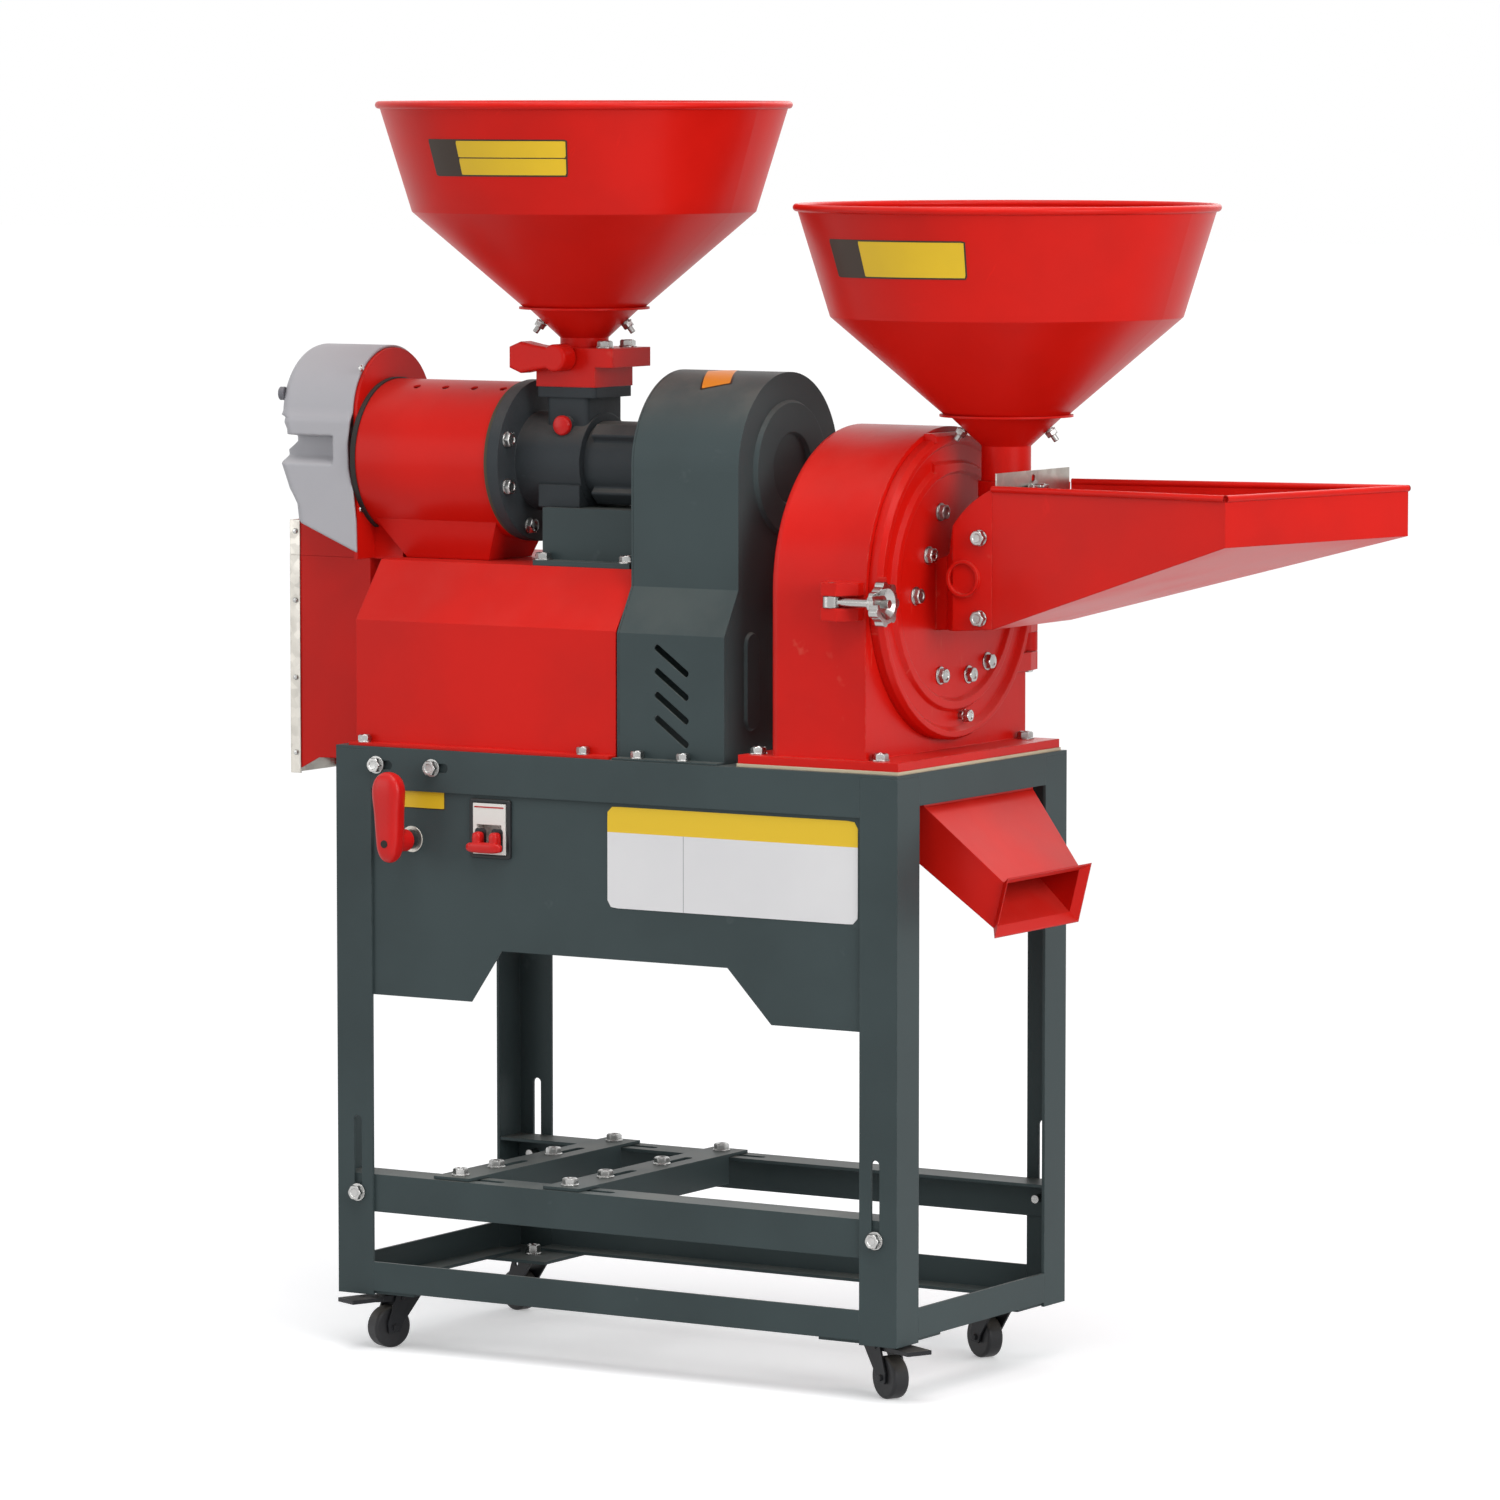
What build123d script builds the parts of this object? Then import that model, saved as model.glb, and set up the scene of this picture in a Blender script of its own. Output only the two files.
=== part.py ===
# Combined rice huller and disc crusher on a stand with casters.
# Millimetres, +Z up. The floor is z = 0 and the front of the machine faces -Y.
# The origin is on the floor under the middle of the whole machine.
from build123d import *
from math import cos, radians, sin
import os

os.makedirs("parts", exist_ok=True)

# Clearances
running = 0.08        # radial, shaft in bore
seat = 0.3            # between pieces that move over one another
bolt_gap = 0.3        # radial, bolt shank in a drilled hole

# Stand
stand_x = -121.0      # middle of the stand
stand_y = 6.5
stand_length = 620.0
stand_depth = 315.0
leg_bottom = 54.0
leg_height = 526.0
leg_angle = 40.0      # width of the leg's angle iron
leg_wall = 3.0
end_rail_drop = 30.0
rail_wall = 3.0
low_rail = 28.0
low_rail_lift = 4.0   # above the foot of the leg
deck = leg_bottom + leg_height

# Casters
wheel_diameter = 40.0
wheel_width = 17.0
caster_inset = 47.0   # from the outside of the stand to the stem
caster_trail = 21.0
caster_plate = 82.0
caster_plate_wall = 3.0
stem_radius = 4.0
fork_wall = 2.0
fork_crown = 18.0
pedal_reach = 70.0
pedal_width = 26.0
pedal_pin = 2.0
crown_wall = 3.0
axle_radius = 3.0
tread_round = 3.0

# Motor slide
motor_angle = 36.0
motor_drop = 80.0     # underside of the motor rails above the foot of the leg
motor_lift = 65.0     # how far the motor rails rise in the legs' slots
leg_slot_inset = 23.0
slot_width = 9.0
bolt_radius = 4.0
cross_width = 40.0
cross_drop = 26.0
cross_left = -184.0   # from the middle of the stand
cross_pitch = 124.0
cross_travel = 45.0
motor_slot_length = 56.0
motor_slot_pitch = 100.0

# Front panel
panel_wall = 1.5
panel_drop = 237.0
panel_arch = 187.0
panel_arch_left = -141.0
panel_arch_right = 150.0
panel_arch_slant = 17.0
panel_bolt_drop = 17.0
panel_slot = 22.0     # length of the slots for the panel's bolts
switch_x = -225.0     # from the middle of the stand
switch_drop = 86.0    # below the deck
switch_stand = 26.0   # boss in front of the panel
switch_boss = 9.0
switch_shaft = 5.0
switch_body = 64.0
switch_body_depth = 70.0
handle_reach = 66.0
handle_width = 22.0
handle_depth = 20.0
handle_hub = 15.0
breaker_x = -135.0
breaker_drop = 71.5
breaker_width = 36.0
breaker_height = 48.0
bezel_width = 46.0
bezel_height = 56.0
bezel_wall = 3.0

# Mill base and saddle
base_left = -297.0
base_right = -4.0
base_front = 142.0    # half depth at the deck
base_top_half = 99.0
base_shoulder = 119.0
base_height = 174.0
base_wall = 3.0
base_foot = 13.0      # width of the flange that is bolted down
base_bolt_left = 14.0
base_bolt_right = 32.0
saddle_left = -124.0
saddle_right = -16.0
saddle_half = 55.0
saddle_height = 54.0
saddle_wall = 5.0
saddle_foot = 17.0

# Mill
mill_y = -27.0        # spindle, from the middle of the stand
spindle_rise = 41.0   # spindle above the saddle
barrel_left = -330.0
barrel_right = -173.0
barrel_radius = 74.5
barrel_wall = 2.0
barrel_holes = 4      # air holes along the barrel's top
barrel_hole = 3.6
barrel_hole_pitch = 33.0
barrel_hole_front = 29.0
barrel_hole_right = 17.0
funnel_top = 58.0     # below the spindle
funnel_mouth_left = -291.0
funnel_mouth_right = -197.0
funnel_mouth_front = 37.0
funnel_top_front = 47.0
screen_radius = 40.0
screen_wall = 1.5
roller_radius = 33.0
shaft_radius = 12.5
flange_radius = 77.0
flange_wall = 12.0
flange_bolt_circle = 65.0
housing_radius = 47.0
housing_right = -88.0
throat_x = -112.0     # hopper axis
throat_half = 33.0
throat_flange = 72.0  # top of the casting above the spindle
throat_flange_wall = 10.0
oiler_radius = 9.0
oiler_boss = 4.0
oiler_lift = 36.0     # above the spindle
bearing_radius = 39.5
gate_block_height = 19.0
gate_slab_height = 18.0
gate_slab_left = -150.0
gate_slab_right = -59.0
gate_bore = 22.0
gate_reach = 50.0

# Hoppers and their collars, the same on both sides
hopper_rim = 194.0
hopper_belt = 163.0
hopper_foot = 58.0
hopper_low = 90.0
hopper_high = 104.0
hopper_wall = 2.0
rim_roll = 3.5
collar_lip = 62.0
collar_cone = 27.0
collar_tube = 23.0
collar_wall = 2.0
mill_collar_rise = 9.0

# Outlet end of the mill
plate_radius = 64.0
plate_wall = 4.0
plate_lift = 40.0     # centre of the round top above the spindle
plate_drop = 97.0     # bottom below the spindle
hood_length = 92.0
flap_knuckle = 3.5
flap_pin = 2.0
flap_lift = 10.0      # hinge above the outlet's edge
flap_tab = 26.0
hood_wall = 2.5
hood_low = 62.0       # left bottom edge below the spindle
duct_left = -427.0
duct_right = -335.0
duct_front = 62.0     # in front of the stand's middle
duct_depth = 78.0
duct_wall = 1.5
duct_bottom = -40.0   # from the deck
duct_slope = 16.0
duct_strip = 10.0
duct_sleeve_lift = 64.0

# Belt guard
guard_right = 115.0
guard_wall = 2.0
guard_radius = 90.0
guard_front = 142.0
guard_shoulder = 118.0
guard_slant = 160.0
guard_slots = 4
guard_slot_step = 22.0
guard_press = 4.0
guard_bolt_left = 24.0
guard_bolt_pitch = 50.0
pulley_width = 40.0
mill_pulley_radius = 68.0
crusher_pulley_radius = 46.0
mill_pulley_left = 20.0
crusher_pulley_left = 66.0

# Crusher
crusher_y = 4.0
crusher_lift = 160.0
crusher_left = 165.0
crusher_right = 268.0
crusher_radius = 148.0
chamber_radius = 131.0
chamber_back = 12.0
flange_left = 135.0
flange_right = 306.0
flange_half = 150.0
flange_thick = 8.0
crusher_bolt_left = 12.0
crusher_bolt_right = 28.0
crusher_bolt_side = 16.0
gasket_wall = 3.0
boss_radius = 38.0
door_radius = 143.0
door_wall = 8.0
rotor_radius = 88.0
crusher_screen_radius = 124.0
tooth_ring_radius = 112.0
tooth_count = 24
inlet_y = 14.0        # middle of the feed mouth, from the middle of the stand
inlet_reach = 84.0    # from the crusher's face
inlet_half = 73.0
inlet_low = -34.0     # mouth, from the spindle
inlet_high = 95.0
inlet_wall = 4.0
inlet_root_high = 26.0  # root of the inlet on the door, from the spindle
inlet_root_drop = 5.0   # root below the mouth's floor
inlet_hump = 54.0       # run of the curved top behind the mouth
inlet_hump_drop = 61.0
inlet_neck = 28.0       # narrowing of each side at the door
inlet_flare_start = 12.0
inlet_flare_end = 34.0
collar_x = 325.0
crusher_collar_lift = 323.0  # lip above the deck
hinge_gap = 12.0
hinge_pin = 5.0
hinge_pitch = 62.0    # middle of each hinge above and below the spindle
knuckle_pitch = 18.0
knuckle = 17.0
clamp_x = 243.0
clamp_out = 18.0      # pin outboard of the casting
clamp_drop = 6.0       # below the crusher's spindle
clamp_reach = 50.0     # from the pin to the back of the knob
clamp_radius = 4.0
knob_radius = 21.0
lug_gap = 9.5         # half the slot between the door's lugs
lug_thick = 12.5
lug_half = 9.0
lug_depth = 22.0
lug_reach = 16.0      # in front of the door
lug_notch = 20.0
knob_lobes = 7

# Feed tray
tray_length = 255.0
tray_back_length = 316.0
tray_rim_lift = 258.0  # above the deck
tray_wall = 1.5
tray_front_angle = 6.0
tray_back_angle = 12.0
tray_lip_height = 44.0
tray_rim = 3.0

# Gate plate of the tray
gate_half = 68.0
gate_bottom = 172.0    # above the deck
gate_height = 100.0
gate_wall = 1.5
gate_stud = 3.0
gate_up = 20.0
gate_down = 8.0

# Discharge chute
chute_right = 303.0
chute_left = 176.0
chute_half = 105.0
chute_wall = 1.5
chute_bend = 33.0     # below the deck
chute_shift = 46.0    # how far the left wall leans in down to the bend
chute_narrow = 4.0
chute_flange = 8.0
chute_flange_half = 124.0
mouth_x = 365.0
mouth_drop = 123.0
mouth_half = 72.0
mouth_height = 44.0
mouth_lean = 14.0
mouth_lip = 7.0

# Places worked out from the sizes
half_length = stand_length / 2
half_depth = stand_depth / 2
front_y = stand_y - half_depth
mill_axis_y = stand_y + mill_y
mill_lift = base_height + saddle_height + spindle_rise
mill_z = deck + mill_lift
crusher_axis_y = stand_y + crusher_y
crusher_z = deck + gasket_wall + crusher_lift
face_x = stand_x + crusher_right
corners = [(-1, -1, "front_left"), (1, -1, "front_right"), (1, 1, "back_right"), (-1, 1, "back_left")]
gasket_top = deck + gasket_wall
flange_middle = (flange_left + flange_right) / 2

# Places of the bolts through the deck and the panel, from the middle of the stand
foot_y = base_front + base_foot / 2
base_bolts = [(x, side * foot_y) for x in (base_left + base_bolt_left, base_right - base_bolt_right) for side in (-1, 1)]
crusher_bolts = [(x, side * (flange_half - crusher_bolt_side))
                 for x in (flange_left + crusher_bolt_left, flange_right - crusher_bolt_right) for side in (-1, 1)]
guard_bolts = [(guard_bolt_left, -foot_y), (guard_bolt_left + guard_bolt_pitch, -foot_y)]
panel_bolts = [switch_x - 38.5, switch_x + 25]


def level(x, y, z):
    """Horizontal plane through a point."""
    return Plane(origin=(x, y, z))


def facing_right(x, y, z):
    """Plane across the X axis: its own x runs along Y and its own y runs up."""
    return Plane(origin=(x, y, z), x_dir=(0, 1, 0), z_dir=(1, 0, 0))


def facing_front(x, y, z):
    """Plane across the Y axis that faces the front: its own x runs along X and its own y runs up."""
    return Plane(origin=(x, y, z), x_dir=(1, 0, 0), z_dir=(0, -1, 0))


def angle_iron(plane, across, drop, wall, length):
    """Angle iron along the plane's normal: one leg along the plane's x, one along its y by drop."""
    rise = 1 if drop > 0 else -1
    with BuildSketch(plane) as outline:
        with BuildLine():
            Polyline((0, 0), (across, 0), (across, rise * wall), (wall, rise * wall),
                     (wall, drop), (0, drop), close=True)
        make_face()
    extrude(outline.sketch, amount=length)


def hex_bolt(plane, shank, head=6.5, height=5.5, washer=8.5, radius=bolt_radius):
    """Hexagon bolt with a washer whose shank runs back through the plane that it seats on."""
    with BuildSketch(plane) as washer_disc:
        Circle(washer)
    extrude(washer_disc.sketch, amount=1.5)
    with BuildSketch(plane.offset(1.5)) as hexagon:
        RegularPolygon(head, 6, major_radius=False)
    extrude(hexagon.sketch, amount=height)
    with BuildSketch(plane) as shank_disc:
        Circle(radius)
    extrude(shank_disc.sketch, amount=-shank)


# Legs: four angle irons with a slot for the motor rails in the front and back faces
slot_low = leg_bottom + motor_drop + motor_angle / 2
leg_slot_x = half_length - leg_slot_inset
with BuildPart() as stand_legs:
    for side_x, side_y, corner in corners:
        with BuildSketch(level(stand_x + side_x * half_length, stand_y + side_y * half_depth, leg_bottom)):
            with Locations((-side_x * leg_angle / 2, -side_y * leg_angle / 2)):
                Rectangle(leg_angle, leg_angle)
            with Locations((-side_x * (leg_angle + leg_wall) / 2, -side_y * (leg_angle + leg_wall) / 2)):
                Rectangle(leg_angle - leg_wall, leg_angle - leg_wall, mode=Mode.SUBTRACT)
        extrude(amount=leg_height - rail_wall)
        slot_x = stand_x + side_x * leg_slot_x
        slot_z = slot_low + motor_lift / 2
        with BuildSketch(facing_front(slot_x, stand_y + side_y * half_depth, slot_z)):
            SlotOverall(motor_lift + 2 * slot_width, slot_width, rotation=90)
        extrude(amount=2 * leg_wall, both=True, mode=Mode.SUBTRACT)
stand_legs.part.label = "stand_legs"
export_step(stand_legs.part, "parts/stand_legs.step")

# Rails between the legs: four at the deck, four near the floor, and a plate in each lower corner
rail_x = half_length - leg_angle
rail_y = half_depth - leg_angle
low_z = leg_bottom + low_rail_lift
plate_reach = caster_plate / 2 + leg_wall
with BuildPart() as stand_rails:
    for side in (-1, 1):
        for z, width, drop in ((deck, leg_angle, -leg_angle), (low_z, low_rail, low_rail)):
            along = Plane(origin=(stand_x, stand_y + side * half_depth, z), x_dir=(0, -side, 0), z_dir=(-side, 0, 0))
            angle_iron(along.offset(-rail_x), width, drop, rail_wall, 2 * rail_x)
        for z, width, drop in ((deck, leg_angle, -end_rail_drop), (low_z, low_rail, low_rail)):
            end = Plane(origin=(stand_x + side * half_length, stand_y, z), x_dir=(-side, 0, 0), z_dir=(0, side, 0))
            angle_iron(end.offset(-rail_y), width, drop, rail_wall, 2 * rail_y)
    for side_x, side_y, corner in corners:
        corner_x = stand_x + side_x * (half_length - plate_reach)
        corner_y = stand_y + side_y * (half_depth - plate_reach)
        with BuildSketch(level(corner_x, corner_y, low_z - caster_plate_wall)):
            Rectangle(caster_plate, caster_plate)
            with Locations((side_x * (plate_reach - caster_inset), side_y * (plate_reach - caster_inset))):
                Circle(stem_radius + running, mode=Mode.SUBTRACT)
        extrude(amount=caster_plate_wall)
        with BuildSketch(level(stand_x + side_x * (half_length - leg_angle / 2),
                               stand_y + side_y * (half_depth - leg_angle / 2), deck - rail_wall)):
            Rectangle(leg_angle, leg_angle)
        extrude(amount=rail_wall)
    with BuildSketch(level(stand_x, stand_y, deck)):
        with Locations(*base_bolts, *crusher_bolts, *guard_bolts):
            Circle(bolt_radius + bolt_gap)
    extrude(amount=-2 * rail_wall, mode=Mode.SUBTRACT)
    with BuildSketch(facing_front(stand_x, front_y, deck - panel_bolt_drop)):
        with Locations(*[(x + panel_slot / 2 - bolt_radius - bolt_gap, 0) for x in panel_bolts]):
            SlotOverall(panel_slot, 2 * (bolt_radius + bolt_gap))
    extrude(amount=-2 * rail_wall, mode=Mode.SUBTRACT)
stand_rails.part.label = "stand_rails"
export_step(stand_rails.part, "parts/stand_rails.step")

# Casters: a swivelling fork, a wheel and, at the front, a brake pedal
caster_turn = {"front_left": -112.7, "front_right": -26.7, "back_right": 153.3, "back_left": 162.0}
plate_z = low_z - caster_plate_wall
crown_z = plate_z - seat
wheel_z = wheel_diameter / 2
fork_gap = wheel_width / 2 + 1.0
pedal_hinge = (fork_crown - 6.0, crown_z - 7.0)
for side_x, side_y, corner in corners:
    stem_x = stand_x + side_x * (half_length - caster_inset)
    stem_y = stand_y + side_y * (half_depth - caster_inset)
    turn = radians(caster_turn[corner])
    crown = level(stem_x, stem_y, crown_z)
    cheek = Plane(origin=(stem_x, stem_y, 0), x_dir=(cos(turn), sin(turn), 0), z_dir=(sin(turn), -cos(turn), 0))
    with BuildPart() as fork:
        with BuildSketch(crown):
            Circle(fork_crown)
        extrude(amount=-crown_wall)
        for side in (-1, 1):
            with BuildSketch(cheek.offset(side * (fork_gap + fork_wall / 2))):
                with BuildLine():
                    Polyline((-fork_crown + 5, crown_z - 1), (fork_crown, crown_z - 1),
                             (caster_trail + axle_radius + 5, wheel_z + 5),
                             (caster_trail + axle_radius + 4, wheel_z - 5),
                             (caster_trail - axle_radius - 3, wheel_z - 5),
                             (caster_trail - axle_radius - 6, wheel_z + 3), close=True)
                make_face()
                with Locations(pedal_hinge):
                    Circle(pedal_pin + running, mode=Mode.SUBTRACT)
            extrude(amount=fork_wall / 2, both=True)
        with BuildSketch(cheek):
            with Locations((caster_trail, wheel_z)):
                Circle(axle_radius)
        extrude(amount=fork_gap + fork_wall + 2, both=True)
        with BuildSketch(crown):
            Circle(stem_radius + running)
        extrude(amount=-crown_wall - 3, mode=Mode.SUBTRACT)
    fork.part.label = f"caster_fork_{corner}"
    export_step(fork.part, f"parts/caster_fork_{corner}.step")

    with BuildPart() as wheel:
        with BuildSketch(cheek):
            with Locations((caster_trail, wheel_z)):
                Circle(wheel_diameter / 2)
        extrude(amount=wheel_width / 2, both=True)
        fillet(wheel.edges().filter_by(GeomType.CIRCLE), radius=tread_round)
        with BuildSketch(cheek):
            with Locations((caster_trail, wheel_z)):
                Circle(axle_radius + running)
        extrude(amount=wheel_width, both=True, mode=Mode.SUBTRACT)
    wheel.part.label = f"caster_wheel_{corner}"
    export_step(wheel.part, f"parts/caster_wheel_{corner}.step")

    if side_y > 0:
        continue
    pedal_x, pedal_z = pedal_hinge
    with BuildPart() as pedal:
        with BuildSketch(cheek):
            with BuildLine():
                Polyline((pedal_x - 4, pedal_z - 3), (pedal_x + 10, pedal_z - 3), (pedal_reach - 30, pedal_z - 2),
                         (pedal_reach - 30, pedal_z + 3), (pedal_x - 4, pedal_z + 3), close=True)
            make_face()
        extrude(amount=fork_gap - 0.5, both=True)
        with BuildSketch(cheek):
            with Locations((pedal_reach - 17.5, pedal_z + 1)):
                Rectangle(35, 4)
        extrude(amount=pedal_width / 2, both=True)
        with BuildSketch(cheek):
            with Locations(pedal_hinge):
                Circle(pedal_pin)
        extrude(amount=fork_gap + fork_wall + 1, both=True)
    pedal.part.label = f"brake_pedal_{corner}"
    export_step(pedal.part, f"parts/brake_pedal_{corner}.step")

# Motor rails: a pair of angle irons that are bolted in the legs' slots
motor_z = leg_bottom + motor_drop
motor_half = half_length - leg_wall - bolt_gap
motor_y = half_depth - leg_wall - seat
cross_places = [stand_x + cross_left, stand_x + cross_left + cross_pitch]
rail_bolt_y = motor_y - motor_angle / 2 - 1
with BuildPart() as motor_rails:
    for side in (-1, 1):
        along = Plane(origin=(stand_x, stand_y + side * motor_y, motor_z + motor_angle),
                      x_dir=(0, -side, 0), z_dir=(-side, 0, 0))
        angle_iron(along.offset(-motor_half), motor_angle, -motor_angle, rail_wall, 2 * motor_half)
        for cross_x in cross_places:
            with BuildSketch(level(cross_x + cross_travel / 2, stand_y + side * rail_bolt_y, motor_z + motor_angle)):
                SlotOverall(cross_travel + slot_width, slot_width)
            extrude(amount=-2 * rail_wall, mode=Mode.SUBTRACT)
        for end in (-1, 1):
            with BuildSketch(facing_front(stand_x + end * leg_slot_x, stand_y + side * motor_y, slot_low)):
                Circle(bolt_radius + running)
            extrude(amount=2 * rail_wall, both=True, mode=Mode.SUBTRACT)
motor_rails.part.label = "motor_rails"
export_step(motor_rails.part, "parts/motor_rails.step")

with BuildPart() as motor_rail_bolts:
    for side in (-1, 1):
        for end in (-1, 1):
            outside = Plane(origin=(stand_x + end * leg_slot_x, stand_y + side * (half_depth + seat), slot_low),
                            x_dir=(1, 0, 0), z_dir=(0, side, 0))
            hex_bolt(outside, shank=leg_wall + rail_wall + 8)
motor_rail_bolts.part.label = "motor_rail_bolts"
export_step(motor_rail_bolts.part, "parts/motor_rail_bolts.step")

# Cross rails: two angle irons across the motor rails, with slots for the motor's feet
cross_z = motor_z + motor_angle + seat
with BuildPart() as cross_rails:
    for cross_x in cross_places:
        with BuildSketch(level(cross_x, stand_y, cross_z)):
            Rectangle(cross_width, 2 * motor_y - 2 * rail_wall)
            for side in (-1, 1):
                with Locations((0, side * rail_bolt_y)):
                    Circle(bolt_radius + running, mode=Mode.SUBTRACT)
                with Locations((0, side * motor_slot_pitch / 2)):
                    SlotOverall(motor_slot_length, slot_width, rotation=90, mode=Mode.SUBTRACT)
        extrude(amount=rail_wall)
        with BuildSketch(level(cross_x + (cross_width - rail_wall) / 2, stand_y, cross_z)):
            Rectangle(rail_wall, 2 * (motor_y - motor_angle - 2))
        extrude(amount=-cross_drop)
cross_rails.part.label = "cross_rails"
export_step(cross_rails.part, "parts/cross_rails.step")

cross_top = cross_z + rail_wall
park = (motor_slot_length - slot_width) / 2
with BuildPart() as cross_rail_bolts:
    for cross_x in cross_places:
        for side in (-1, 1):
            hex_bolt(level(cross_x, stand_y + side * rail_bolt_y, cross_top), shank=rail_wall + 12)
            hex_bolt(level(cross_x, stand_y + side * motor_slot_pitch / 2 - park, cross_top), shank=rail_wall + 8)
cross_rail_bolts.part.label = "cross_rail_bolts"
export_step(cross_rail_bolts.part, "parts/cross_rail_bolts.step")

# Front panel with the holes for the switch and the circuit breaker
panel_y = front_y + rail_wall
panel_half = rail_x + leg_angle - leg_wall - bolt_gap
switch_z = deck - switch_drop
breaker_z = deck - breaker_drop
with BuildPart() as front_panel:
    with BuildSketch(facing_front(stand_x, panel_y + panel_wall, deck)):
        with BuildLine():
            Polyline((-panel_half, -rail_wall), (-panel_half, -panel_drop),
                     (panel_arch_left - panel_arch_slant, -panel_drop),
                     (panel_arch_left + panel_arch_slant, -panel_arch),
                     (panel_arch_right - 1.4 * panel_arch_slant, -panel_arch),
                     (panel_arch_right + 1.4 * panel_arch_slant, -panel_drop),
                     (panel_half, -panel_drop), (panel_half, -rail_wall), close=True)
        make_face()
        with Locations((switch_x, -switch_drop)):
            Circle(switch_boss + bolt_gap, mode=Mode.SUBTRACT)
        with Locations((breaker_x, -breaker_drop)):
            Rectangle(breaker_width + 2 * bolt_gap, breaker_height + 2 * bolt_gap, mode=Mode.SUBTRACT)
        with Locations(*[(x, -panel_bolt_drop) for x in panel_bolts]):
            Circle(bolt_radius + bolt_gap, mode=Mode.SUBTRACT)
    extrude(amount=panel_wall)
front_panel.part.label = "front_panel"
export_step(front_panel.part, "parts/front_panel.step")

# Reversing switch behind the panel and its handle in front
with BuildPart() as switch_drum:
    with BuildSketch(facing_front(stand_x + switch_x, panel_y + panel_wall, switch_z)):
        RectangleRounded(switch_body, switch_body, 8)
    extrude(amount=-switch_body_depth)
    with BuildSketch(facing_front(stand_x + switch_x, panel_y + panel_wall, switch_z)):
        Circle(switch_boss)
    extrude(amount=panel_wall + switch_stand)
    with BuildSketch(facing_front(stand_x + switch_x, panel_y - switch_stand, switch_z)):
        Circle(switch_shaft + running)
    extrude(amount=-switch_stand - 20, mode=Mode.SUBTRACT)
switch_drum.part.label = "switch_body"
export_step(switch_drum.part, "parts/switch_body.step")

handle_y = panel_y - switch_stand - seat


def lever_handle(plane, shaft_length):
    """Moulded lever: round hub at the plane's origin, grip along the plane's +y, shaft to the back."""
    with BuildSketch(plane) as lever:
        with BuildLine():
            Polyline((-handle_hub * 0.62, 0), (-handle_width / 2, handle_reach * 0.45),
                     (-handle_width / 2, handle_reach - 6), (-handle_width / 2 + 6, handle_reach),
                     (handle_width / 2 - 6, handle_reach), (handle_width / 2, handle_reach - 6),
                     (handle_width / 2, handle_reach * 0.45), (handle_hub * 0.62, 0), close=True)
        make_face()
        Circle(handle_hub)
    extrude(lever.sketch, amount=handle_depth)
    with BuildSketch(plane) as stub:
        Circle(switch_shaft)
    extrude(stub.sketch, amount=-shaft_length)


with BuildPart() as switch_handle:
    lever_handle(facing_front(stand_x + switch_x, handle_y, switch_z), switch_stand + 18)
    fillet(switch_handle.faces().sort_by(Axis.Y)[0].edges(), radius=3)
switch_handle.part.label = "switch_handle"
export_step(switch_handle.part, "parts/switch_handle.step")

# Circuit breaker, its bezel and its two linked toggles
breaker_depth = 58.0
breaker_proud = 4.0
toggle_radius = 7.0
with BuildPart() as breaker_body:
    with BuildSketch(facing_front(stand_x + breaker_x, panel_y - breaker_proud, breaker_z)):
        Rectangle(breaker_width, breaker_height)
    extrude(amount=-breaker_depth)
    with BuildSketch(facing_front(stand_x + breaker_x, panel_y - breaker_proud, breaker_z - 6)):
        Rectangle(breaker_width - 8, 2 * toggle_radius + 6)
    extrude(amount=-12, mode=Mode.SUBTRACT)
breaker_body.part.label = "breaker_body"
export_step(breaker_body.part, "parts/breaker_body.step")

with BuildPart() as breaker_bezel:
    with BuildSketch(facing_front(stand_x + breaker_x, panel_y, breaker_z)):
        RectangleRounded(bezel_width, bezel_height, 3)
        Rectangle(breaker_width + 2 * bolt_gap, breaker_height + 2 * bolt_gap, mode=Mode.SUBTRACT)
    extrude(amount=bezel_wall)
    chamfer(breaker_bezel.faces().sort_by(Axis.Y)[0].edges(), length=0.8)
breaker_bezel.part.label = "breaker_bezel"
export_step(breaker_bezel.part, "parts/breaker_bezel.step")

toggle_z = breaker_z - 6
toggle_y = panel_y - breaker_proud + toggle_radius - 2
with BuildPart() as breaker_toggle:
    with BuildSketch(facing_right(stand_x + breaker_x, toggle_y, toggle_z)):
        Circle(toggle_radius - seat)
    extrude(amount=breaker_width / 2 - 4.6, both=True)
    for side in (-1, 1):
        with BuildSketch(facing_right(stand_x + breaker_x + side * breaker_width / 4, toggle_y, toggle_z)):
            with Locations((-toggle_radius - 3, -3.5)):
                Rectangle(12, 5, rotation=25)
        extrude(amount=5, both=True)
    with BuildSketch(facing_right(stand_x + breaker_x, toggle_y, toggle_z)):
        with Locations((-toggle_radius - 7, -5.5)):
            Rectangle(4, 4, rotation=25)
    extrude(amount=breaker_width / 2 - 4.6, both=True)
breaker_toggle.part.label = "breaker_toggle"
export_step(breaker_toggle.part, "parts/breaker_toggle.step")

saddle_bolts = [(x, side * (saddle_half + saddle_foot / 2)) for x in (saddle_left + 6, saddle_right - 8) for side in (-1, 1)]

# Mill base: a folded cover with sloping shoulders that is bolted to the deck
base_middle = stand_x + (base_left + base_right) / 2
base_span = base_right - base_left


def shoulder_outline(inset):
    """Cross-section of the mill base, drawn inwards by inset, open at the deck."""
    slope = inset * (base_front - base_top_half) / (base_height - base_shoulder) * 0.5
    Polyline((-base_front + inset, 0), (-base_front + inset, base_shoulder - slope),
             (-base_top_half + slope, base_height - inset), (base_top_half - slope, base_height - inset),
             (base_front - inset, base_shoulder - slope), (base_front - inset, 0), close=True)


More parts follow.
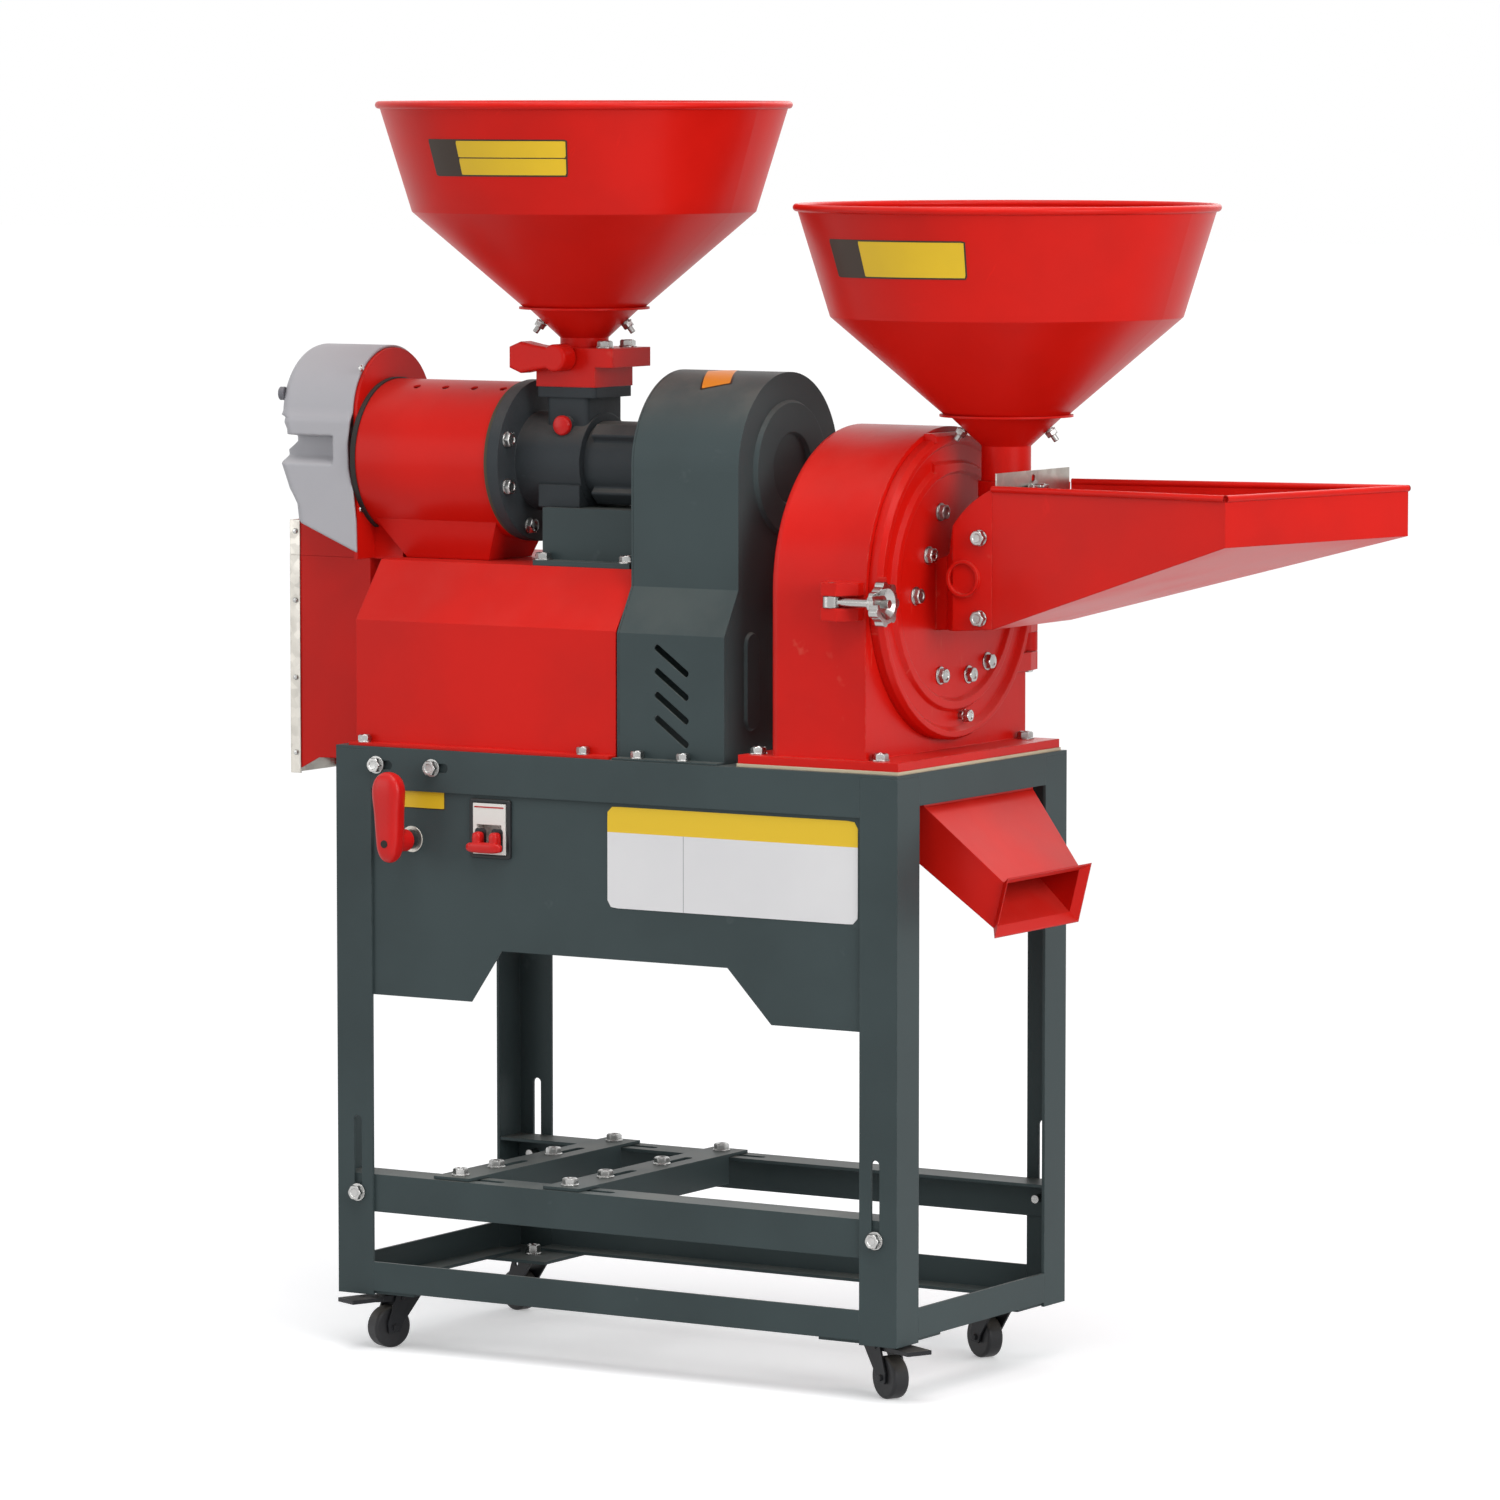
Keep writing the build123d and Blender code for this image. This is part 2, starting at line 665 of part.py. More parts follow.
with BuildPart() as mill_base:
    with BuildSketch(facing_right(base_middle, stand_y, deck)):
        with BuildLine():
            shoulder_outline(0)
        make_face()
    extrude(amount=base_span / 2, both=True)
    with BuildSketch(facing_right(base_middle, stand_y, deck)):
        with BuildLine():
            shoulder_outline(base_wall)
        make_face()
    extrude(amount=base_span / 2 - base_wall, both=True, mode=Mode.SUBTRACT)
    with BuildSketch(level(base_middle, stand_y, deck)):
        for side in (-1, 1):
            with Locations((0, side * foot_y)):
                Rectangle(base_span, base_foot)
    extrude(amount=base_wall)
    with BuildSketch(level(stand_x, stand_y, deck)):
        for place in base_bolts:
            with Locations(place):
                Circle(bolt_radius + bolt_gap)
        with Locations(((funnel_mouth_left + funnel_mouth_right) / 2, mill_y)):
            Rectangle(funnel_mouth_right - funnel_mouth_left - 8, 2 * funnel_mouth_front - 8)
        with Locations(*[(x, mill_y + y) for x, y in saddle_bolts]):
            Circle(bolt_radius + bolt_gap)
    extrude(amount=base_height + 5, mode=Mode.SUBTRACT)
mill_base.part.label = "mill_base"
export_step(mill_base.part, "parts/mill_base.step")

# Saddle: a bent bracket on the base that carries the mill's casting
saddle_z = deck + base_height
saddle_top = saddle_z + saddle_height
saddle_middle = stand_x + (saddle_left + saddle_right) / 2
saddle_span = saddle_right - saddle_left
with BuildPart() as mill_saddle:
    with BuildSketch(facing_right(saddle_middle, mill_axis_y, saddle_z)):
        with BuildLine():
            Polyline((-saddle_half - saddle_foot, 0), (-saddle_half + saddle_wall, 0),
                     (-saddle_half + saddle_wall, saddle_height - saddle_wall),
                     (saddle_half - saddle_wall, saddle_height - saddle_wall),
                     (saddle_half - saddle_wall, 0), (saddle_half + saddle_foot, 0),
                     (saddle_half + saddle_foot, saddle_wall), (saddle_half, saddle_wall),
                     (saddle_half, saddle_height), (-saddle_half, saddle_height),
                     (-saddle_half, saddle_wall), (-saddle_half - saddle_foot, saddle_wall), close=True)
        make_face()
    extrude(amount=saddle_span / 2, both=True)
    with BuildSketch(level(stand_x, mill_axis_y, saddle_z)):
        for place in saddle_bolts:
            with Locations(place):
                Circle(bolt_radius + bolt_gap)
    extrude(amount=saddle_wall + 1, mode=Mode.SUBTRACT)
mill_saddle.part.label = "mill_saddle"
export_step(mill_saddle.part, "parts/mill_saddle.step")

# Belt guard: arched sheet cover with cooling slots and a pressed ring, and the plate that closes its left side
def guard_outline(inset):
    """Cross-section of the guard round the mill's spindle, drawn inwards by inset."""
    front = -guard_front - mill_y + inset
    radius = guard_radius - inset
    Polyline((radius, 0), (radius, -mill_lift), (front, -mill_lift), (front, guard_shoulder - mill_lift),
             (-radius, guard_slant - mill_lift), (-radius, 0))
    RadiusArc((-radius, 0), (radius, 0), radius)


guard_face = stand_x + guard_right
guard_foot_y = -guard_front - mill_y - base_foot / 2
with BuildPart() as belt_guard:
    with BuildSketch(facing_right(stand_x, mill_axis_y, mill_z)):
        with BuildLine():
            guard_outline(0)
        make_face()
    extrude(amount=guard_right)
    with BuildSketch(facing_right(stand_x, mill_axis_y, mill_z)):
        with BuildLine():
            guard_outline(guard_wall)
        make_face()
    extrude(amount=guard_right - guard_wall, mode=Mode.SUBTRACT)
    with BuildSketch(facing_right(guard_face, mill_axis_y, mill_z)):
        Circle(guard_radius - 26)
        Circle(guard_radius - 58, mode=Mode.SUBTRACT)
    extrude(amount=guard_press, taper=30)
    with BuildSketch(facing_right(guard_face, mill_axis_y, deck)):
        with Locations((-68, 74)):
            SlotOverall(92, 24, rotation=90)
    extrude(amount=guard_press - 1, taper=30)
    with BuildSketch(facing_right(guard_face + 1, crusher_axis_y, crusher_z)):
        Circle(boss_radius + seat)
    extrude(amount=-guard_wall - 2, mode=Mode.SUBTRACT)
    with BuildSketch(facing_front(stand_x, stand_y - guard_front, deck)):
        for row in range(guard_slots):
            with Locations((57.5, 94 - row * guard_slot_step)):
                SlotOverall(45, 6.5, rotation=-36)
    extrude(amount=3 * guard_wall, both=True, mode=Mode.SUBTRACT)
    with BuildSketch(facing_right(stand_x, mill_axis_y, deck)):
        with Locations((guard_foot_y, guard_wall / 2)):
            Rectangle(base_foot, guard_wall)
    extrude(amount=guard_right)
    with BuildSketch(level(stand_x, stand_y, deck)):
        with Locations(*guard_bolts):
            Circle(bolt_radius + bolt_gap)
    extrude(amount=guard_wall, mode=Mode.SUBTRACT)
belt_guard.part.label = "belt_guard"
export_step(belt_guard.part, "parts/belt_guard.step")

with BuildPart() as guard_back_plate:
    with BuildSketch(facing_right(stand_x - seat, mill_axis_y, mill_z)):
        with BuildLine():
            guard_outline(0)
        make_face()
        Circle(shaft_radius + 4, mode=Mode.SUBTRACT)
    extrude(amount=-guard_wall)
guard_back_plate.part.label = "guard_back_plate"
export_step(guard_back_plate.part, "parts/guard_back_plate.step")

# Milling barrel: a rolled cover with a bran funnel under it that opens into the base
barrel_span = barrel_right - barrel_left
funnel_drop = mill_lift - base_height - seat
funnel_middle = stand_x + (funnel_mouth_left + funnel_mouth_right) / 2
barrel_middle = stand_x + (barrel_left + barrel_right) / 2


def funnel_body(inset):
    """Hopper-shaped duct from the barrel down to the base, its walls drawn inwards by inset."""
    with BuildSketch(level(barrel_middle, mill_axis_y, mill_z - funnel_top)) as upper:
        Rectangle(barrel_span - 18 - 2 * inset, 2 * funnel_top_front - 2 * inset)
    with BuildSketch(level(funnel_middle, mill_axis_y, mill_z - funnel_drop)) as lower:
        Rectangle(funnel_mouth_right - funnel_mouth_left - 2 * inset, 2 * funnel_mouth_front - 2 * inset)
    return loft([upper.sketch, lower.sketch], ruled=True, mode=Mode.PRIVATE)


def barrel_body(inset, reach):
    """Barrel with its funnel as one solid, drawn inwards by inset."""
    with BuildPart() as body:
        with BuildSketch(facing_right(barrel_middle, mill_axis_y, mill_z)):
            Circle(barrel_radius - inset)
        extrude(amount=barrel_span / 2 + reach, both=True)
        with BuildSketch(facing_right(barrel_middle, mill_axis_y, mill_z)):
            with Locations((0, -funnel_top / 2)):
                Rectangle(2 * funnel_top_front - 2 * inset, funnel_top)
        extrude(amount=(barrel_span - 18) / 2 - inset, both=True)
        add(funnel_body(inset))
    return body.part


with BuildPart() as barrel_cover:
    add(barrel_body(0, 0))
    add(barrel_body(barrel_wall, 1), mode=Mode.SUBTRACT)
    with BuildSketch(level(funnel_middle, mill_axis_y, mill_z - funnel_drop - 1)):
        Rectangle(funnel_mouth_right - funnel_mouth_left - 2 * barrel_wall, 2 * funnel_mouth_front - 2 * barrel_wall)
    extrude(amount=barrel_wall + 2, mode=Mode.SUBTRACT)
    with BuildSketch(level(barrel_middle + barrel_hole_right, mill_axis_y - barrel_hole_front, mill_z)):
        with GridLocations(barrel_hole_pitch, 1, barrel_holes, 1):
            Circle(barrel_hole)
    extrude(amount=barrel_radius + 1, mode=Mode.SUBTRACT)
barrel_cover.part.label = "barrel_cover"
export_step(barrel_cover.part, "parts/barrel_cover.step")

# Inside the barrel: a screen round the milling roller
roller_left = stand_x + barrel_left + 8
roller_right = stand_x + barrel_right - 2
screen_left = stand_x + barrel_left + seat
screen_right = stand_x + barrel_right - seat
with BuildPart() as mill_screen:
    with BuildSketch(facing_right(screen_left, mill_axis_y, mill_z)):
        RegularPolygon(screen_radius, 6)
        RegularPolygon(screen_radius - screen_wall, 6, mode=Mode.SUBTRACT)
    extrude(amount=screen_right - screen_left)
mill_screen.part.label = "mill_screen"
export_step(mill_screen.part, "parts/mill_screen.step")

with BuildPart() as milling_roller:
    with BuildSketch(facing_right(roller_left, mill_axis_y, mill_z)):
        Circle(roller_radius - 6)
        with PolarLocations(roller_radius - 5, 4):
            Rectangle(8, 8)
        Circle(shaft_radius + seat / 3, mode=Mode.SUBTRACT)
    extrude(amount=roller_right - roller_left)
milling_roller.part.label = "milling_roller"
export_step(milling_roller.part, "parts/milling_roller.step")

# Feed screw: a core with a flight that pushes the grain out of the throat
screw_left = stand_x + barrel_right + seat
screw_right = stand_x + housing_right - 12
screw_pitch = 24.0
flight_half = 3.0
screw_turns = (screw_right - screw_left - 2 * flight_half) / screw_pitch
with BuildPart() as feed_screw:
    with BuildSketch(facing_right(screw_left, mill_axis_y, mill_z)):
        Circle(roller_radius - 12)
        Circle(shaft_radius + seat / 3, mode=Mode.SUBTRACT)
    extrude(amount=screw_right - screw_left)
    for turn in range(int(screw_turns * 2)):
        start = screw_left + flight_half + turn * screw_pitch / 2
        with BuildSketch(facing_right(start, mill_axis_y, mill_z)):
            Circle(roller_radius - 2)
            Circle(roller_radius - 13, mode=Mode.SUBTRACT)
            with Locations((roller_radius if turn % 2 else -roller_radius, 0)):
                Rectangle(2 * roller_radius, 2 * roller_radius, mode=Mode.SUBTRACT)
        extrude(amount=flight_half)
feed_screw.part.label = "feed_screw"
export_step(feed_screw.part, "parts/feed_screw.step")

# Mill spindle
spindle_left = stand_x + barrel_left + 4
spindle_right = stand_x + guard_right - 12
with BuildPart() as mill_shaft:
    with BuildSketch(facing_right(spindle_left, mill_axis_y, mill_z)):
        Circle(shaft_radius)
    extrude(amount=spindle_right - spindle_left)
    chamfer(mill_shaft.edges().filter_by(GeomType.CIRCLE), length=1)
mill_shaft.part.label = "mill_shaft"
export_step(mill_shaft.part, "parts/mill_shaft.step")


def vee_pulley(left, axis_y, axis_z, radius, bore):
    """Two-groove pulley with a web and a hub, revolved about its spindle."""
    half = pulley_width / 2
    with BuildSketch(facing_front(stand_x + left + half, axis_y, axis_z)) as profile:
        with BuildLine():
            Polyline((-half, bore), (-half, bore + 10), (-6, bore + 10), (-6, radius - 18), (-half, radius - 18),
                     (-half, radius), (-half + 3, radius), (-half + 8, radius - 11), (-5, radius - 11), (-1, radius),
                     (1, radius), (5, radius - 11), (half - 8, radius - 11), (half - 3, radius), (half, radius),
                     (half, radius - 18), (6, radius - 18), (6, bore + 10), (half, bore + 10), (half, bore), close=True)
        make_face()
    revolve(profile.sketch, axis=Axis((0, axis_y, axis_z), (1, 0, 0)))


with BuildPart() as mill_pulley:
    vee_pulley(mill_pulley_left, mill_axis_y, mill_z, mill_pulley_radius, shaft_radius + seat / 3)
mill_pulley.part.label = "mill_pulley"
export_step(mill_pulley.part, "parts/mill_pulley.step")

# Feed casting of the mill: bolting flange, screw housing, throat and foot in one casting
housing_left = stand_x + barrel_right + seat
throat_top = mill_z + throat_flange
flange_ring = [(flange_bolt_circle * cos(radians(a)), flange_bolt_circle * sin(radians(a)))
               for a in (160, 200, 20, 340, 250, 290)]
with BuildPart() as mill_housing:
    with BuildSketch(facing_right(housing_left, mill_axis_y, mill_z)):
        Circle(flange_radius)
    extrude(amount=flange_wall)
    with BuildSketch(facing_right(housing_left, mill_axis_y, mill_z)):
        Circle(housing_radius)
    extrude(amount=stand_x + housing_right - housing_left)
    with BuildSketch(level(stand_x + throat_x, mill_axis_y, mill_z)):
        RectangleRounded(2 * throat_half - 20, 2 * throat_half - 4, 5)
    extrude(amount=throat_flange)
    with BuildSketch(level(stand_x + throat_x, mill_axis_y, throat_top - throat_flange_wall)):
        RectangleRounded(2 * throat_half, 2 * throat_half, 4)
    extrude(amount=throat_flange_wall)
    with BuildSketch(level(stand_x + throat_x, mill_axis_y, saddle_top)):
        Rectangle(2 * throat_half - 20, 2 * saddle_half - 20)
    extrude(amount=mill_z - saddle_top - 20)
    with BuildSketch(level(saddle_middle - saddle_wall, mill_axis_y, saddle_top)):
        Rectangle(saddle_span, 2 * housing_radius)
    extrude(amount=-saddle_wall - 2, mode=Mode.SUBTRACT)
    with BuildSketch(facing_right(housing_left - 1, mill_axis_y, mill_z)):
        Circle(roller_radius + 1)
    extrude(amount=screw_right - housing_left + 5, mode=Mode.SUBTRACT)
    with BuildSketch(facing_right(housing_left - 1, mill_axis_y, mill_z)):
        Circle(shaft_radius + running)
    extrude(amount=stand_x + housing_right - housing_left + 3, mode=Mode.SUBTRACT)
    with BuildSketch(level(stand_x + throat_x, mill_axis_y, mill_z)):
        Circle(gate_bore)
    extrude(amount=throat_flange + 1, mode=Mode.SUBTRACT)
    with BuildSketch(facing_right(housing_left, mill_axis_y, mill_z)):
        with Locations(*flange_ring):
            Circle(bolt_radius + bolt_gap)
    extrude(amount=flange_wall + 1, mode=Mode.SUBTRACT)
    with BuildSketch(facing_front(stand_x + throat_x, mill_axis_y - throat_half + oiler_boss, mill_z + oiler_lift)):
        Circle(oiler_radius)
    extrude(amount=2 * oiler_boss)
mill_housing.part.label = "mill_housing"
export_step(mill_housing.part, "parts/mill_housing.step")

# Bearing housing with four ribs between the feed casting and the guard
bearing_left = stand_x + housing_right
bearing_right = stand_x - seat - guard_wall
with BuildPart() as bearing_housing:
    with BuildSketch(facing_right(bearing_left, mill_axis_y, mill_z)):
        Circle(bearing_radius)
    extrude(amount=bearing_right - bearing_left)
    with BuildSketch(facing_right(bearing_left + 8, mill_axis_y, mill_z)):
        with PolarLocations(bearing_radius, 4, start_angle=45):
            Rectangle(14, 16)
    extrude(amount=bearing_right - bearing_left - 16)
    fillet(bearing_housing.edges().filter_by(Axis.X), radius=2)
    with BuildSketch(facing_right(bearing_left, mill_axis_y, mill_z)):
        Circle(shaft_radius + running)
    extrude(amount=bearing_right - bearing_left, mode=Mode.SUBTRACT)
bearing_housing.part.label = "bearing_housing"
export_step(bearing_housing.part, "parts/bearing_housing.step")

# Feed gate: a block and a slab on the throat, with a butterfly that the handle turns
block_z = throat_top
slab_z = block_z + gate_block_height
slab_middle = stand_x + (gate_slab_left + gate_slab_right) / 2
gate_z = slab_z + gate_slab_height / 2
gate_front = mill_axis_y - throat_half
slab_bolts = [(gate_slab_right - 17, side * 20) for side in (-1, 1)]
with BuildPart() as gate_block:
    with BuildSketch(level(stand_x + throat_x, mill_axis_y, block_z)):
        Rectangle(2 * throat_half, 2 * throat_half)
    extrude(amount=gate_block_height)
    with BuildSketch(level(slab_middle, mill_axis_y, slab_z)):
        Rectangle(gate_slab_right - gate_slab_left, 2 * throat_half)
    extrude(amount=gate_slab_height)
    with BuildSketch(level(stand_x + throat_x, mill_axis_y, block_z)):
        Circle(gate_bore)
    extrude(amount=gate_block_height + gate_slab_height, mode=Mode.SUBTRACT)
    with BuildSketch(facing_front(stand_x + throat_x, gate_front, gate_z)):
        Circle(switch_shaft + running)
    extrude(amount=-2 * throat_half - 2, mode=Mode.SUBTRACT)
    with BuildSketch(level(stand_x, mill_axis_y, slab_z)):
        with Locations(*slab_bolts):
            Circle(bolt_radius + bolt_gap)
    extrude(amount=gate_slab_height, mode=Mode.SUBTRACT)
gate_block.part.label = "gate_block"
export_step(gate_block.part, "parts/gate_block.step")

with BuildPart() as mill_gate:
    grip_plane = Plane(origin=(stand_x + throat_x, gate_front - seat - 2, gate_z), x_dir=(0, 0, 1), z_dir=(0, -1, 0))
    with BuildSketch(grip_plane):
        with BuildLine():
            Polyline((-9, 0), (-12, gate_reach * 0.45), (-15, gate_reach * 0.75), (-10, gate_reach),
                     (10, gate_reach), (15, gate_reach * 0.75), (12, gate_reach * 0.45), (9, 0), close=True)
        make_face()
        Circle(13)
    extrude(amount=handle_depth)
    fillet(mill_gate.faces().sort_by(Axis.Y)[0].edges(), radius=3)
    with BuildSketch(grip_plane):
        Circle(switch_shaft)
    extrude(amount=-2 * throat_half)
    with BuildSketch(level(stand_x + throat_x, mill_axis_y, gate_z)):
        Circle(gate_bore - 1)
    extrude(amount=1.5, both=True)
mill_gate.part.label = "mill_gate"
export_step(mill_gate.part, "parts/mill_gate.step")


def collar_ring(x, y, lip_z, foot_z):
    """Funnel collar: flat lip, cone and tube, revolved about the hopper's axis."""
    with BuildSketch(facing_front(x, y, lip_z)) as profile:
        with BuildLine():
            Polyline((collar_tube - collar_wall, foot_z - lip_z), (collar_tube, foot_z - lip_z),
                     (collar_tube, -collar_cone - collar_wall), (collar_lip - 10, -collar_wall),
                     (collar_lip, -collar_wall), (collar_lip, 0), (collar_lip - 11, 0),
                     (collar_tube - collar_wall, -collar_cone), close=True)
        make_face()
    revolve(profile.sketch, axis=Axis((x, y, 0), (0, 0, 1)))


def hopper_shell(x, y, foot_z):
    """Spun hopper: steep cone, shallower upper cone and a rolled rim."""
    belt = foot_z + hopper_low
    rim = belt + hopper_high
    with BuildSketch(facing_front(x, y, 0)) as profile:
        with BuildLine():
            Polyline((hopper_foot - 1.4 * hopper_wall, foot_z), (hopper_foot, foot_z), (hopper_belt, belt),
                     (hopper_rim, rim - rim_roll), (hopper_rim - hopper_wall, rim - rim_roll),
                     (hopper_belt - hopper_wall, belt + 0.4 * hopper_wall), close=True)
        make_face()
        with Locations((hopper_rim, rim - rim_roll)):
            Circle(rim_roll)
    revolve(profile.sketch, axis=Axis((x, y, 0), (0, 0, 1)))


slab_top = slab_z + gate_slab_height
mill_lip_z = slab_top + mill_collar_rise + collar_cone + collar_wall
with BuildPart() as mill_collar:
    collar_ring(stand_x + throat_x, mill_axis_y, mill_lip_z, slab_top)
mill_collar.part.label = "mill_collar"
export_step(mill_collar.part, "parts/mill_collar.step")

with BuildPart() as mill_hopper:
    hopper_shell(stand_x + throat_x, mill_axis_y, mill_lip_z)
mill_hopper.part.label = "mill_hopper"
export_step(mill_hopper.part, "parts/mill_hopper.step")

# Outlet end: the plate that closes the barrel, the hood over the rice outlet and a hinged flap inside it
outlet_x = stand_x + barrel_left
outlet_radius = screen_radius - 6.0
with BuildPart() as outlet_plate:
    with BuildSketch(facing_right(outlet_x, mill_axis_y, mill_z)):
        with BuildLine():
            Polyline((plate_radius, plate_lift), (plate_radius, -plate_drop), (-plate_radius, -plate_drop),
                     (-plate_radius, plate_lift))
            RadiusArc((-plate_radius, plate_lift), (plate_radius, plate_lift), plate_radius)
        make_face()
        Circle(outlet_radius, mode=Mode.SUBTRACT)
    extrude(amount=-plate_wall)
outlet_plate.part.label = "outlet_plate"
export_step(outlet_plate.part, "parts/outlet_plate.step")


def hood_outline(inset):
    """Cross-section of the hood, open at the bottom, drawn inwards by inset."""
    radius = plate_radius + hood_wall - inset
    low = -plate_drop - 20
    Polyline((radius, plate_lift), (radius, low), (-radius, low), (-radius, plate_lift))
    RadiusArc((-radius, plate_lift), (radius, plate_lift), radius)


hood_left = outlet_x - hood_length
hood_corner = 16.0


def hood_body(inset, reach):
    """Hood as one solid with a rounded outer end, drawn inwards by inset."""
    with BuildPart() as body:
        with BuildSketch(facing_right(hood_left + inset + seat, mill_axis_y, mill_z)):
            with BuildLine():
                hood_outline(inset)
            make_face()
        extrude(amount=hood_length + reach - inset - seat)
        fillet(body.faces().sort_by(Axis.X)[0].edges().sort_by(Axis.Z)[1:], radius=hood_corner - inset)
    return body.part


with BuildPart() as outlet_hood:
    add(hood_body(-seat, 0))
    add(hood_body(hood_wall - seat, 1), mode=Mode.SUBTRACT)
    with BuildSketch(facing_front(hood_left, mill_axis_y, mill_z)):
        with BuildLine():
            Polyline((-10, -hood_low - 60), (-10, -hood_low + 8), (14, -hood_low), (hood_length + 1, -plate_drop),
                     (hood_length + 1, -hood_low - 60), close=True)
        make_face()
    extrude(amount=plate_radius + 20, both=True, mode=Mode.SUBTRACT)
    with BuildSketch(facing_front(hood_left, mill_axis_y - plate_radius - hood_wall - seat, mill_z)):
        with Locations((32, 1)):
            RectangleRounded(50, 30, 4)
    extrude(amount=2.5, taper=20)
outlet_hood.part.label = "outlet_hood"
export_step(outlet_hood.part, "parts/outlet_hood.step")

flap_hinge_x = outlet_x - plate_wall - seat - flap_knuckle
flap_hinge_z = mill_z + outlet_radius + flap_lift
with BuildPart() as outlet_flap:
    with BuildSketch(facing_right(outlet_x - plate_wall - seat, mill_axis_y, mill_z)):
        Circle(outlet_radius + 4)
        with Locations((0, outlet_radius)):
            Rectangle(flap_tab, 2 * flap_lift)
    extrude(amount=-3)
    with BuildSketch(facing_front(flap_hinge_x, mill_axis_y, flap_hinge_z)):
        Circle(flap_knuckle)
    extrude(amount=12, both=True)
    with BuildSketch(facing_front(flap_hinge_x, mill_axis_y, flap_hinge_z)):
        Circle(flap_pin)
    extrude(amount=plate_radius - seat, both=True)
outlet_flap.part.label = "outlet_flap"
export_step(outlet_flap.part, "parts/outlet_flap.step")

# Bran duct: a tall sheet channel at the left end, closed by a plate on its outer side
duct_top = mill_z - plate_drop - seat
duct_low = deck + duct_bottom
duct_y = stand_y - duct_front
duct_span = duct_right - duct_left
with BuildPart() as wind_duct:
    with BuildSketch(level(stand_x + duct_left, duct_y, duct_low)):
        with Locations((duct_span / 2, duct_depth / 2)):
            Rectangle(duct_span, duct_depth)
        with Locations((duct_span / 2 - duct_wall, duct_depth / 2)):
            Rectangle(duct_span, duct_depth - 2 * duct_wall, mode=Mode.SUBTRACT)
    extrude(amount=duct_top - duct_low)
    with BuildSketch(facing_front(stand_x + duct_left, duct_y, duct_low)):
        with BuildLine():
            Polyline((-1, -1), (duct_span + 1, -1), (duct_span + 1, duct_slope + 2), (duct_span / 3, duct_slope),
                     (0, 0), (-1, 0), close=True)
        make_face()
    extrude(amount=2 * duct_depth, both=True, mode=Mode.SUBTRACT)
    with BuildSketch(facing_right(stand_x + duct_right, duct_y + duct_depth / 2, deck + duct_sleeve_lift)):
        Rectangle(duct_depth - 16, duct_depth - 16)
        Rectangle(duct_depth - 16 - 2 * duct_wall, duct_depth - 16 - 2 * duct_wall, mode=Mode.SUBTRACT)
    extrude(amount=base_left - duct_right)
wind_duct.part.label = "wind_duct"
export_step(wind_duct.part, "parts/wind_duct.step")

with BuildPart() as duct_cover:
    with BuildSketch(level(stand_x + duct_left, duct_y, duct_low)):
        with Locations((-duct_wall / 2, duct_depth / 2)):
            Rectangle(duct_wall, duct_depth + 2 * duct_wall)
        for y in (-duct_wall / 2, duct_depth + duct_wall / 2):
            with Locations((duct_strip / 2, y)):
                Rectangle(duct_strip, duct_wall)
    extrude(amount=duct_top - duct_low)
duct_cover.part.label = "duct_cover"
export_step(duct_cover.part, "parts/duct_cover.step")

# Crusher: gasket, cast housing with its bearing boss, screen, spindle, rotor and pulley
with BuildPart() as crusher_gasket:
    with BuildSketch(level(stand_x + flange_middle, crusher_axis_y - crusher_y, deck)):
        Rectangle(flange_right - flange_left + 2, 2 * flange_half + 2)
        with Locations((crusher_left + 50 - flange_middle, crusher_y)):
            Rectangle(86, 180, mode=Mode.SUBTRACT)
    extrude(amount=gasket_wall)
    with BuildSketch(level(stand_x, stand_y, deck)):
        with Locations(*crusher_bolts):
            Circle(bolt_radius + bolt_gap)
    extrude(amount=gasket_wall, mode=Mode.SUBTRACT)
crusher_gasket.part.label = "crusher_gasket"
export_step(crusher_gasket.part, "parts/crusher_gasket.step")

